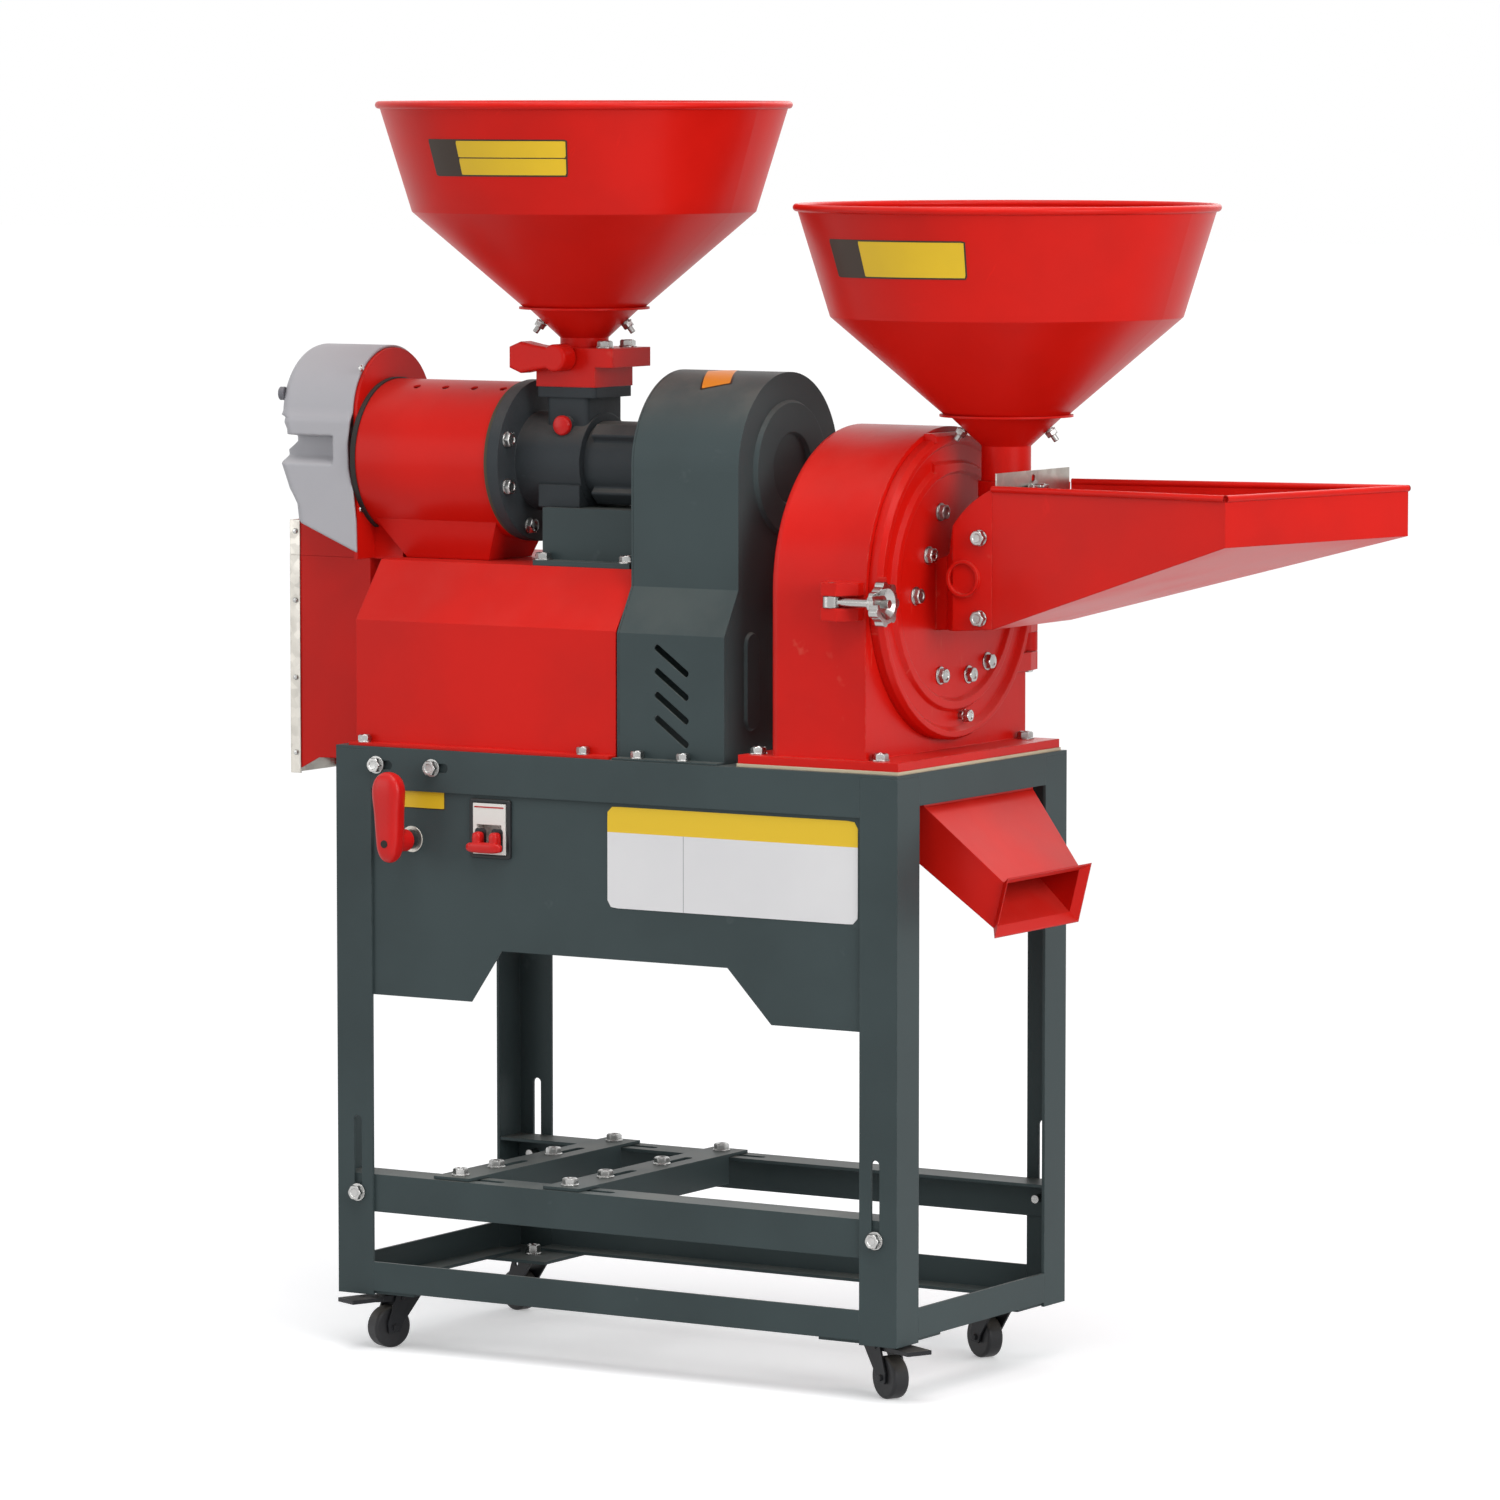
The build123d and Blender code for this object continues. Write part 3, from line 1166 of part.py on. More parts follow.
clamp_z = crusher_z - clamp_drop
hinge_y = crusher_axis_y + crusher_radius + hinge_gap
hinge_x = face_x - 4
hinge_root = crusher_axis_y + door_radius - 40
clamp_y = crusher_axis_y - crusher_radius - clamp_out
crusher_mid_left = stand_x + crusher_left
with BuildPart() as crusher_housing:
    with BuildSketch(facing_right(crusher_mid_left, crusher_axis_y, crusher_z)):
        with BuildLine():
            Polyline((crusher_radius, 0), (crusher_radius, gasket_top - crusher_z),
                     (-crusher_radius, gasket_top - crusher_z), (-crusher_radius, 0))
            RadiusArc((-crusher_radius, 0), (crusher_radius, 0), crusher_radius)
        make_face()
    extrude(amount=crusher_right - crusher_left)
    fillet(crusher_housing.faces().sort_by(Axis.X)[0].edges().filter_by(GeomType.CIRCLE), radius=9)
    with BuildSketch(level(stand_x + flange_middle, stand_y, gasket_top)):
        Rectangle(flange_right - flange_left, 2 * flange_half)
    extrude(amount=flange_thick)
    with BuildSketch(facing_right(crusher_mid_left, crusher_axis_y, crusher_z)):
        Circle(boss_radius)
    extrude(amount=-(crusher_left - guard_right - 1))
    with BuildSketch(facing_right(crusher_mid_left - 14, crusher_axis_y, crusher_z)):
        with PolarLocations(boss_radius + 22, 4, start_angle=45):
            Rectangle(50, 8)
    extrude(amount=16)
    for low in (-17.5, 5.5):
        with BuildSketch(level(0, 0, clamp_z + low)):
            with BuildLine():
                Polyline((stand_x + clamp_x - 16, clamp_y + clamp_out + 3), (stand_x + clamp_x - 8, clamp_y - 7),
                         (stand_x + clamp_x + 8, clamp_y - 7), (face_x - 2, clamp_y + 8),
                         (face_x - 2, clamp_y + clamp_out + 3), close=True)
            make_face()
            with Locations((stand_x + clamp_x, clamp_y)):
                Circle(clamp_radius + running, mode=Mode.SUBTRACT)
        extrude(amount=12)
    for side in (-1, 1):
        with BuildSketch(level(0, 0, crusher_z + side * hinge_pitch - knuckle_pitch / 2)):
            with BuildLine():
                Polyline((hinge_x - 22, hinge_root), (hinge_x - 22, hinge_y - hinge_gap), (hinge_x - 9, hinge_y + 9),
                         (hinge_x + 4, hinge_y + 9), (hinge_x + 4, hinge_root), close=True)
            make_face()
            with Locations((hinge_x, hinge_y)):
                Circle(9)
            with Locations((hinge_x, hinge_y)):
                Circle(hinge_pin + running, mode=Mode.SUBTRACT)
        extrude(amount=knuckle_pitch)
    with BuildSketch(facing_right(crusher_mid_left + chamber_back, crusher_axis_y, crusher_z)):
        Circle(chamber_radius)
    extrude(amount=crusher_right, mode=Mode.SUBTRACT)
    with BuildSketch(level(crusher_mid_left + 50, crusher_axis_y, gasket_top)):
        RectangleRounded(70, 150, 6)
    extrude(amount=crusher_lift - 60, mode=Mode.SUBTRACT)
    with BuildSketch(facing_right(crusher_mid_left - 60, crusher_axis_y, crusher_z)):
        Circle(shaft_radius + running)
    extrude(amount=90, mode=Mode.SUBTRACT)
    with BuildSketch(level(stand_x, stand_y, gasket_top)):
        with Locations(*crusher_bolts):
            Circle(bolt_radius + bolt_gap)
    extrude(amount=flange_thick + 1, mode=Mode.SUBTRACT)
crusher_housing.part.label = "crusher_housing"
export_step(crusher_housing.part, "parts/crusher_housing.step")

crusher_back = crusher_mid_left + chamber_back
with BuildPart() as crusher_screen:
    with BuildSketch(facing_right(crusher_back, crusher_axis_y, crusher_z)):
        Circle(crusher_screen_radius)
        Circle(crusher_screen_radius - 1.5, mode=Mode.SUBTRACT)
    extrude(amount=face_x - crusher_back - seat)
    with BuildSketch(facing_right(crusher_back, crusher_axis_y, crusher_z)):
        Circle(chamber_radius - seat / 3)
        Circle(crusher_screen_radius - 1.5, mode=Mode.SUBTRACT)
    extrude(amount=4)
crusher_screen.part.label = "crusher_screen"
export_step(crusher_screen.part, "parts/crusher_screen.step")

rotor_left = crusher_back + 8
spindle_start = stand_x + crusher_pulley_left - 12
with BuildPart() as crusher_shaft:
    with BuildSketch(facing_right(spindle_start, crusher_axis_y, crusher_z)):
        Circle(shaft_radius)
    extrude(amount=rotor_left + 24 - spindle_start)
    chamfer(crusher_shaft.edges().filter_by(GeomType.CIRCLE), length=1)
crusher_shaft.part.label = "crusher_shaft"
export_step(crusher_shaft.part, "parts/crusher_shaft.step")

rotor_teeth = 6
with BuildPart() as crusher_rotor:
    with BuildSketch(facing_right(rotor_left, crusher_axis_y, crusher_z)):
        Circle(rotor_radius)
        Circle(shaft_radius + seat / 3, mode=Mode.SUBTRACT)
    extrude(amount=6)
    with BuildSketch(facing_right(rotor_left, crusher_axis_y, crusher_z)):
        Circle(shaft_radius + 9)
        Circle(shaft_radius + seat / 3, mode=Mode.SUBTRACT)
    extrude(amount=22)
    with BuildSketch(facing_right(rotor_left + 6, crusher_axis_y, crusher_z)):
        with PolarLocations(rotor_radius - 9, rotor_teeth):
            Rectangle(16, 14)
        with PolarLocations(rotor_radius - 38, rotor_teeth, start_angle=30):
            Rectangle(12, 12)
    extrude(amount=42)
crusher_rotor.part.label = "crusher_rotor"
export_step(crusher_rotor.part, "parts/crusher_rotor.step")

with BuildPart() as crusher_pulley:
    vee_pulley(crusher_pulley_left, crusher_axis_y, crusher_z, crusher_pulley_radius, shaft_radius + seat / 3)
crusher_pulley.part.label = "crusher_pulley"
export_step(crusher_pulley.part, "parts/crusher_pulley.step")

# Door: a ridged cast disc with the feed inlet, its hinge knuckles and the forked ear for the clamp
door_x = face_x + seat
inlet_axis_y = stand_y + inlet_y
mouth_plate_x = face_x + inlet_reach
door_front = door_x + door_wall
neck_half = inlet_half - inlet_neck
inlet_bolt_x = mouth_plate_x - 13
inlet_bolt_lifts = [50, -24]
lug_y = crusher_axis_y - door_radius + lug_half + 1
door_bolts_at = [(-27, 70), (-49, 31), (-72.5, -5), (-27, -81.5), (25, -84), (60, -74)]


def inlet_side(inset):
    """Side view of the feed inlet from the door to its mouth, drawn inwards by inset."""
    reach = mouth_plate_x - door_front
    hump = (reach - inlet_hump + inset, inlet_high - inlet_hump_drop - 0.4 * inset)
    bulge = (reach - 0.6 * inlet_hump + 0.7 * inset, inlet_high - 0.38 * inlet_hump_drop - 0.7 * inset)
    Polyline((0, inlet_root_high - inset), (0, inlet_low - inlet_root_drop + inset), (reach, inlet_low + inset),
             (reach, inlet_high - inset))
    ThreePointArc((reach, inlet_high - inset), bulge, hump)
    Line(hump, (0, inlet_root_high - inset))


def inlet_body(inset, reach):
    """Feed inlet: its side view, cut to a narrow neck at the door that flares to flat walls at the mouth."""
    with BuildPart() as body:
        with BuildSketch(facing_front(door_front, inlet_axis_y, crusher_z)):
            with BuildLine():
                inlet_side(inset)
            make_face()
        extrude(amount=inlet_half, both=True)
        with BuildSketch(level(door_front, inlet_axis_y, crusher_z)):
            with BuildLine():
                Polyline((-1, neck_half - inset), (inlet_flare_start, neck_half - inset),
                         (inlet_flare_end, inlet_half - inset), (inlet_reach, inlet_half - inset),
                         (inlet_reach, inset - inlet_half), (inlet_flare_end, inset - inlet_half),
                         (inlet_flare_start, inset - neck_half), (-1, inset - neck_half), close=True)
            make_face()
        extrude(amount=2 * inlet_high, both=True, mode=Mode.INTERSECT)
        if reach:
            extrude(body.faces().sort_by(Axis.X)[0], amount=reach)
            extrude(body.faces().sort_by(Axis.X)[-1], amount=reach)
    return body.part


with BuildPart() as crusher_door:
    with BuildSketch(facing_front(door_x, crusher_axis_y, crusher_z)) as profile:
        with BuildLine():
            Polyline((0, 0), (0, door_radius), (door_wall, door_radius), (door_wall + 5, door_radius - 3),
                     (door_wall + 5, door_radius - 8), (door_wall, door_radius - 12), (door_wall, door_radius - 26),
                     (door_wall + 4, door_radius - 29), (door_wall + 4, door_radius - 36),
                     (door_wall, door_radius - 39), (door_wall, 0), close=True)
        make_face()
    revolve(profile.sketch, axis=Axis((door_x, crusher_axis_y, crusher_z), (1, 0, 0)))
    add(inlet_body(0, 0))
    with BuildSketch(level(stand_x + collar_x, inlet_axis_y, crusher_z + inlet_high - 40)):
        Circle(collar_tube + 3)
    extrude(amount=44)
    with BuildSketch(facing_right(mouth_plate_x - 3, inlet_axis_y, crusher_z + inlet_high + 1)):
        Rectangle(40, 18)
    extrude(amount=3)
    add(inlet_body(inlet_wall, door_wall + 1), mode=Mode.SUBTRACT)
    with BuildSketch(level(stand_x + collar_x, inlet_axis_y, crusher_z + inlet_high - 45)):
        Circle(collar_tube - collar_wall)
    extrude(amount=60, mode=Mode.SUBTRACT)
    for middle in [side * hinge_pitch + step * knuckle_pitch for side in (-1, 1) for step in (-1, 1)]:
        with BuildSketch(level(0, 0, crusher_z + middle - knuckle / 2)):
            with BuildLine():
                Polyline((door_x, hinge_root), (door_front, hinge_root), (door_front, hinge_y - 16),
                         (hinge_x + 9, hinge_y), (door_x, hinge_y), close=True)
            make_face()
            with Locations((hinge_x, hinge_y)):
                Circle(9)
                Circle(hinge_pin + running, mode=Mode.SUBTRACT)
        extrude(amount=knuckle)
    for low in (-lug_gap - lug_thick, lug_gap):
        with BuildSketch(level(0, 0, clamp_z + low)):
            with Locations((door_front + lug_reach - lug_depth / 2, lug_y)):
                Rectangle(lug_depth, 2 * lug_half)
            with Locations((stand_x + clamp_x, clamp_y)):
                Circle(clamp_reach - seat, mode=Mode.INTERSECT)
        extrude(amount=lug_thick)
    with BuildSketch(level(door_front + lug_notch / 2, lug_y, clamp_z)):
        Rectangle(lug_notch, 2 * lug_half + 4)
    extrude(amount=lug_gap, both=True, mode=Mode.SUBTRACT)
    with BuildSketch(facing_front(mouth_plate_x - 30, inlet_axis_y - inlet_half, crusher_z + 12)):
        Circle(17)
        Circle(14, mode=Mode.SUBTRACT)
    extrude(amount=3)
    for lift in inlet_bolt_lifts:
        with BuildSketch(facing_front(inlet_bolt_x, inlet_axis_y - inlet_half, crusher_z + lift)):
            Circle(bolt_radius + bolt_gap)
        extrude(amount=-inlet_wall - 1, mode=Mode.SUBTRACT)
    with BuildSketch(facing_right(door_x, crusher_axis_y, crusher_z)):
        with Locations(*door_bolts_at):
            Circle(bolt_radius + bolt_gap)
    extrude(amount=door_wall, mode=Mode.SUBTRACT)
crusher_door.part.label = "crusher_door"
export_step(crusher_door.part, "parts/crusher_door.step")

ring_inner = tooth_ring_radius - 18
with BuildPart() as tooth_ring:
    with BuildSketch(facing_right(door_x, crusher_axis_y, crusher_z)):
        Circle(tooth_ring_radius)
        Circle(ring_inner, mode=Mode.SUBTRACT)
    extrude(amount=-5)
    with BuildSketch(facing_right(door_x - 5, crusher_axis_y, crusher_z)):
        with PolarLocations(tooth_ring_radius - 9, tooth_count):
            Rectangle(9, 8)
    extrude(amount=-9)
tooth_ring.part.label = "tooth_ring"
export_step(tooth_ring.part, "parts/tooth_ring.step")

# Collar and hopper on the inlet
crusher_lip_z = deck + crusher_collar_lift
with BuildPart() as feed_collar:
    collar_ring(stand_x + collar_x, inlet_axis_y, crusher_lip_z, crusher_z + inlet_high + 4)
feed_collar.part.label = "feed_collar"
export_step(feed_collar.part, "parts/feed_collar.step")

with BuildPart() as crusher_hopper:
    hopper_shell(stand_x + collar_x, inlet_axis_y, crusher_lip_z)
crusher_hopper.part.label = "crusher_hopper"
export_step(crusher_hopper.part, "parts/crusher_hopper.step")

# Feed tray: a folded sheet whose floor rises to its outer end, with a rolled rim
tray_top = deck + tray_rim_lift
tray_floor = crusher_z + inlet_low
front_turn = radians(tray_front_angle)
back_turn = radians(tray_back_angle)
tray_front = inlet_axis_y - inlet_half
tray_back = inlet_axis_y + inlet_half + 3.0
tray_corners = [(mouth_plate_x, tray_front),
                (mouth_plate_x + tray_length, tray_front - tray_length * sin(front_turn)),
                (mouth_plate_x + tray_back_length, tray_back + tray_back_length * sin(back_turn)),
                (mouth_plate_x, tray_back)]
end_run = tray_corners[2][0] - tray_corners[1][0]
end_rise = tray_corners[2][1] - tray_corners[1][1]
end_width = (end_run ** 2 + end_rise ** 2) ** 0.5
end_middle = ((tray_corners[1][0] + tray_corners[2][0]) / 2, (tray_corners[1][1] + tray_corners[2][1]) / 2)


def tray_body(inset, reach):
    """Tray as one solid from the mouth to its slanting outer end, drawn inwards by inset."""
    with BuildSketch(facing_right(mouth_plate_x, (tray_front + tray_back) / 2, 0)) as mouth:
        with Locations((0, (tray_floor + inset + tray_top + reach) / 2)):
            Rectangle(tray_back - tray_front - 2 * inset, tray_top + reach - tray_floor - inset)
    outside = Plane(origin=(end_middle[0], end_middle[1], 0), x_dir=(end_run, end_rise, 0), z_dir=(end_rise, -end_run, 0))
    with BuildSketch(outside.offset(-inset)) as end:
        with Locations((0, tray_top + (reach + inset - tray_lip_height) / 2)):
            Rectangle(end_width - 2 * inset, tray_lip_height + reach - inset)
    return loft([mouth.sketch, end.sketch], ruled=True, mode=Mode.PRIVATE)


with BuildPart() as feed_tray:
    add(tray_body(0, 0))
    add(tray_body(tray_wall, 5), mode=Mode.SUBTRACT)
    with BuildLine() as rim_line:
        Polyline(*[(x, y, tray_top) for x, y in tray_corners])
    with BuildSketch(Plane(origin=rim_line.line @ 0, z_dir=rim_line.line % 0)):
        Circle(tray_rim)
    sweep(path=rim_line.line, transition=Transition.ROUND)
feed_tray.part.label = "feed_tray"
export_step(feed_tray.part, "parts/feed_tray.step")

# Gate plate in front of the mouth, with a slot for its wing nut
gate_low = deck + gate_bottom
gate_nut_z = crusher_z + inlet_high - 1
with BuildPart() as gate_plate:
    with BuildSketch(facing_right(mouth_plate_x + seat, inlet_axis_y, gate_low)):
        with Locations((0, gate_height / 2)):
            Rectangle(2 * gate_half, gate_height)
        with Locations((0, gate_nut_z - (gate_up - gate_down) / 2 - gate_low)):
            SlotOverall(gate_up + gate_down + 2 * (gate_stud + bolt_gap), 2 * (gate_stud + bolt_gap), rotation=90,
                        mode=Mode.SUBTRACT)
    extrude(amount=gate_wall)
gate_plate.part.label = "gate_plate"
export_step(gate_plate.part, "parts/gate_plate.step")

# Clamp of the door: an eyebolt on an upright pin, and its star knob
with BuildPart() as clamp_bolt:
    with BuildSketch(level(stand_x + clamp_x, clamp_y, clamp_z)):
        Circle(clamp_radius + 4.5)
    extrude(amount=5, both=True)
    with BuildSketch(facing_right(stand_x + clamp_x, clamp_y, clamp_z)):
        Circle(clamp_radius)
    extrude(amount=clamp_reach + 11)
    with BuildSketch(level(stand_x + clamp_x, clamp_y, clamp_z)):
        Circle(clamp_radius + running)
    extrude(amount=6, both=True, mode=Mode.SUBTRACT)
clamp_bolt.part.label = "clamp_bolt"
export_step(clamp_bolt.part, "parts/clamp_bolt.step")

knob_lobe = 4.5
knob_x = stand_x + clamp_x + clamp_reach
with BuildPart() as clamp_knob:
    with BuildSketch(facing_right(knob_x - 9, clamp_y, clamp_z)):
        Circle(2 * clamp_radius)
    extrude(amount=10)
    with BuildSketch(facing_right(knob_x, clamp_y, clamp_z)):
        Circle(knob_radius - 3)
        with PolarLocations(knob_radius - knob_lobe, knob_lobes):
            Circle(knob_lobe)
    extrude(amount=9)
    with BuildSketch(facing_front(knob_x + 9, clamp_y, clamp_z)) as dish:
        with BuildLine():
            Polyline((0, 0), (0, knob_radius - 7), (-5, clamp_radius + 4), (-5, 0), close=True)
        make_face()
    revolve(dish.sketch, axis=Axis((0, clamp_y, clamp_z), (1, 0, 0)), mode=Mode.SUBTRACT)
    with BuildSketch(facing_right(knob_x - 10, clamp_y, clamp_z)):
        Circle(clamp_radius + running)
    extrude(amount=30, mode=Mode.SUBTRACT)
clamp_knob.part.label = "clamp_knob"
export_step(clamp_knob.part, "parts/clamp_knob.step")

# Discharge chute under the crusher: a bent rectangular duct with a flared mouth
chute_top = deck - rail_wall
lean = radians(mouth_lean)
mouth_plane = Plane(origin=(stand_x + mouth_x, crusher_axis_y, deck - mouth_drop), x_dir=(0, 1, 0),
                    z_dir=(cos(lean), 0, -sin(lean)))


def looking_down(left, right, z):
    """Horizontal plane that looks down, its own x along Y, over the middle of a span along X."""
    return Plane(origin=(stand_x + (left + right) / 2, crusher_axis_y, z), x_dir=(0, 1, 0), z_dir=(0, 0, -1))


def chute_body(inset):
    """Chute as one solid, drawn inwards by inset: straight down, then out to the mouth."""
    with BuildSketch(looking_down(chute_left, chute_right, chute_top)) as top:
        Rectangle(2 * (chute_half - inset), chute_right - chute_left - 2 * inset)
    with BuildSketch(looking_down(chute_left + chute_shift, chute_right, deck - chute_bend)) as bend:
        Rectangle(2 * (chute_half - chute_narrow - inset), chute_right - chute_left - chute_shift - 2 * inset)
    with BuildSketch(mouth_plane) as mouth:
        Rectangle(2 * (mouth_half - inset), mouth_height - 2 * inset)
    upper = loft([top.sketch, bend.sketch], ruled=True, mode=Mode.PRIVATE)
    lower = loft([bend.sketch, mouth.sketch], ruled=True, mode=Mode.PRIVATE)
    return upper + lower


with BuildPart() as discharge_chute:
    add(chute_body(0))
    with BuildSketch(looking_down(chute_left - chute_flange, flange_right, chute_top)):
        Rectangle(2 * chute_flange_half, flange_right - chute_left + chute_flange)
    extrude(amount=chute_wall)
    with BuildSketch(mouth_plane) as lip_root:
        Rectangle(2 * mouth_half, mouth_height)
    with BuildSketch(mouth_plane.offset(mouth_lip)) as lip_edge:
        Rectangle(2 * (mouth_half + mouth_lip), mouth_height + 2 * mouth_lip)
    loft([lip_root.sketch, lip_edge.sketch], ruled=True)
    add(chute_body(chute_wall), mode=Mode.SUBTRACT)
    with BuildSketch(mouth_plane) as lip_inside:
        Rectangle(2 * (mouth_half - chute_wall), mouth_height - 2 * chute_wall)
    with BuildSketch(mouth_plane.offset(mouth_lip)) as lip_opening:
        Rectangle(2 * (mouth_half + mouth_lip - chute_wall), mouth_height + 2 * (mouth_lip - chute_wall))
    loft([lip_inside.sketch, lip_opening.sketch], ruled=True, mode=Mode.SUBTRACT)
discharge_chute.part.label = "discharge_chute"
export_step(discharge_chute.part, "parts/discharge_chute.step")

# Bolts, stems and pins of the fixed frame, one solid each
with BuildPart() as frame_bolts:
    for x, y in base_bolts:
        hex_bolt(level(stand_x + x, stand_y + y, deck + base_wall), shank=base_wall + rail_wall + 4,
                 head=5.5, washer=6.2)
    for x, y in guard_bolts:
        hex_bolt(level(stand_x + x, stand_y + y, deck + guard_wall), shank=guard_wall + rail_wall + 4,
                 head=5.5, washer=6.2)
    for x, y in crusher_bolts:
        hex_bolt(level(stand_x + x, stand_y + y, gasket_top + flange_thick), shank=flange_thick + gasket_wall + rail_wall + 8)
    for x, y in saddle_bolts:
        hex_bolt(level(stand_x + x, mill_axis_y + y, saddle_z + saddle_wall), shank=saddle_wall + base_wall + 6)
    for x, y in slab_bolts:
        hex_bolt(level(stand_x + x, mill_axis_y + y, slab_top), shank=gate_slab_height)
    for y, z in flange_ring:
        hex_bolt(facing_right(housing_left + flange_wall, mill_axis_y + y, mill_z + z), shank=flange_wall + 6, washer=7.5)
    for x in panel_bolts:
        hex_bolt(facing_front(stand_x + x, front_y, deck - panel_bolt_drop), shank=rail_wall + panel_wall + 6)
    for side_x, side_y, corner in corners:
        stem_x = stand_x + side_x * (half_length - caster_inset)
        stem_y = stand_y + side_y * (half_depth - caster_inset)
        hex_bolt(level(stem_x, stem_y, low_z), shank=low_z - crown_z + crown_wall + seat, radius=stem_radius, height=8)
        with BuildSketch(level(stem_x, stem_y, crown_z - crown_wall - seat)):
            Circle(stem_radius + 3)
        extrude(amount=-4)
    for side in (-1, 1):
        with BuildSketch(level(hinge_x, hinge_y, crusher_z + side * hinge_pitch)):
            Circle(hinge_pin)
        extrude(amount=knuckle_pitch + knuckle / 2 + 1.5, both=True)
    with BuildSketch(level(stand_x + clamp_x, clamp_y, clamp_z)):
        Circle(clamp_radius)
    extrude(amount=17.5, both=True)
frame_bolts.part.label = "frame_bolts"
export_step(frame_bolts.part, "parts/frame_bolts.step")

# Bolts on the door, and the wing nut of the gate plate
with BuildPart() as door_bolts:
    for y, z in door_bolts_at:
        hex_bolt(facing_right(door_front, crusher_axis_y + y, crusher_z + z), shank=door_wall - 1)
    for lift in inlet_bolt_lifts:
        hex_bolt(facing_front(inlet_bolt_x, inlet_axis_y - inlet_half, crusher_z + lift), shank=inlet_wall, washer=7.5)
    with BuildSketch(facing_right(mouth_plate_x, inlet_axis_y, gate_nut_z)):
        Circle(gate_stud)
    extrude(amount=12)
    with BuildSketch(facing_right(mouth_plate_x + 2 * seat + gate_wall, inlet_axis_y, gate_nut_z)):
        Circle(gate_stud + 3)
    extrude(amount=6)
    with BuildSketch(facing_right(mouth_plate_x + 2 * seat + gate_wall + 2, inlet_axis_y, gate_nut_z)):
        SlotOverall(30, 3.5)
    extrude(amount=9)
door_bolts.part.label = "door_bolts"
export_step(door_bolts.part, "parts/door_bolts.step")
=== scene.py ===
# %% [markdown]
# # A rice huller and disc crusher on one stand
# The machine has two halves on a steel stand: at the left a milling barrel under a tall hopper, at the
# right a cast disc crusher with its own hopper and feed tray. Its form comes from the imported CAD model.
# This file gives it its paint, metal and plastic, and adds the small pieces that only the eye needs.

import math

import bmesh
import bpy
import numpy as np
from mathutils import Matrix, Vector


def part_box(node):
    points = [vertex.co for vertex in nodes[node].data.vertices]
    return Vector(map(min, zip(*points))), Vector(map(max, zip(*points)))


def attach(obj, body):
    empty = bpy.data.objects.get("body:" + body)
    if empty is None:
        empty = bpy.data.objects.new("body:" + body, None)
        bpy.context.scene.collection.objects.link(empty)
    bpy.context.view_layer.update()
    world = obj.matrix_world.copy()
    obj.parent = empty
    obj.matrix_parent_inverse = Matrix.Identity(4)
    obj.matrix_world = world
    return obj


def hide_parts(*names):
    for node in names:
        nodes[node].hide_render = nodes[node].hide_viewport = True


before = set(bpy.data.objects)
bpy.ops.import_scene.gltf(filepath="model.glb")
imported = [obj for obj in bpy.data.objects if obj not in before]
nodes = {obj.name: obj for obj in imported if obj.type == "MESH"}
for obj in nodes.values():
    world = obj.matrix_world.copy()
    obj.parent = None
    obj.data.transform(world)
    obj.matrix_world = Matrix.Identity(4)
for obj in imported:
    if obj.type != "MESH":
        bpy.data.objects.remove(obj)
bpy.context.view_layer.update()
print("CAD nodes:", len(nodes))

# %% [markdown]
# ## The camera
# The photograph was taken from the right of the front, from far away with a long lens: the uprights stay
# almost parallel. The place and the lens were fitted to corners of the stand and rims of the hoppers.

# %% Camera
camera_data = bpy.data.cameras.new("photo_view")
camera_data.sensor_width = 36.0
camera_data.lens = 180.41
camera_data.clip_end = 60.0
camera = bpy.data.objects.new("photo_view", camera_data)
bpy.context.scene.collection.objects.link(camera)
camera.location = (3.6395, -6.0123, 1.2238)
camera.rotation_euler = (math.radians(90 - 5.205), 0.0, math.radians(31.614))
bpy.context.scene.camera = camera
print("camera at", tuple(round(v, 3) for v in camera.location))

# %% [markdown]
# ## Light
# A studio with broad soft lamps: one large lamp above and in front, one on the right that brightens
# the sides of the machine, and a weak one on the left. The world is a plain grey light for the object,
# while the camera and reflections see it white. The Standard view transform keeps colours as written.

# %% Lamps and world
scene = bpy.context.scene
scene.view_settings.view_transform = "Standard"


def soft_lamp(name, place, target, size, watts):
    """A square lamp at a place, turned so that it shines at the target."""
    data = bpy.data.lights.new(name, "AREA")
    data.energy = watts
    data.size = size
    lamp = bpy.data.objects.new(name, data)
    scene.collection.objects.link(lamp)
    lamp.location = place
    aim = np.array(target) - np.array(place)
    flat = math.hypot(aim[0], aim[1])
    lamp.rotation_euler = (math.atan2(flat, -aim[2]), 0.0, math.atan2(-aim[0], aim[1]))
    return lamp


middle = (0.0, 0.0, 0.65)
soft_lamp("lamp_above", (0.5, -1.2, 3.8), middle, 2.6, 72.0)
soft_lamp("lamp_right", (3.4, -1.2, 1.9), middle, 2.0, 70.0)
soft_lamp("lamp_left", (-2.6, -2.6, 1.4), middle, 2.0, 20.0)
soft_lamp("lamp_behind", (-0.6, 3.0, 2.4), middle, 2.0, 26.0)

world = bpy.data.worlds.new("studio")
scene.world = world
world.use_nodes = True
wires = world.node_tree
wires.nodes.clear()
sky_out = wires.nodes.new("ShaderNodeOutputWorld")
grey_light = wires.nodes.new("ShaderNodeBackground")
grey_light.inputs["Color"].default_value = (0.95, 0.97, 1.0, 1.0)
grey_light.inputs["Strength"].default_value = 0.42
white_seen = wires.nodes.new("ShaderNodeBackground")
white_seen.inputs["Color"].default_value = (1.0, 1.0, 1.0, 1.0)
white_seen.inputs["Strength"].default_value = 1.0
ray = wires.nodes.new("ShaderNodeLightPath")
seen = wires.nodes.new("ShaderNodeMath")
seen.operation = "ADD"
seen.use_clamp = True
through = wires.nodes.new("ShaderNodeMath")
through.operation = "ADD"
through.use_clamp = True
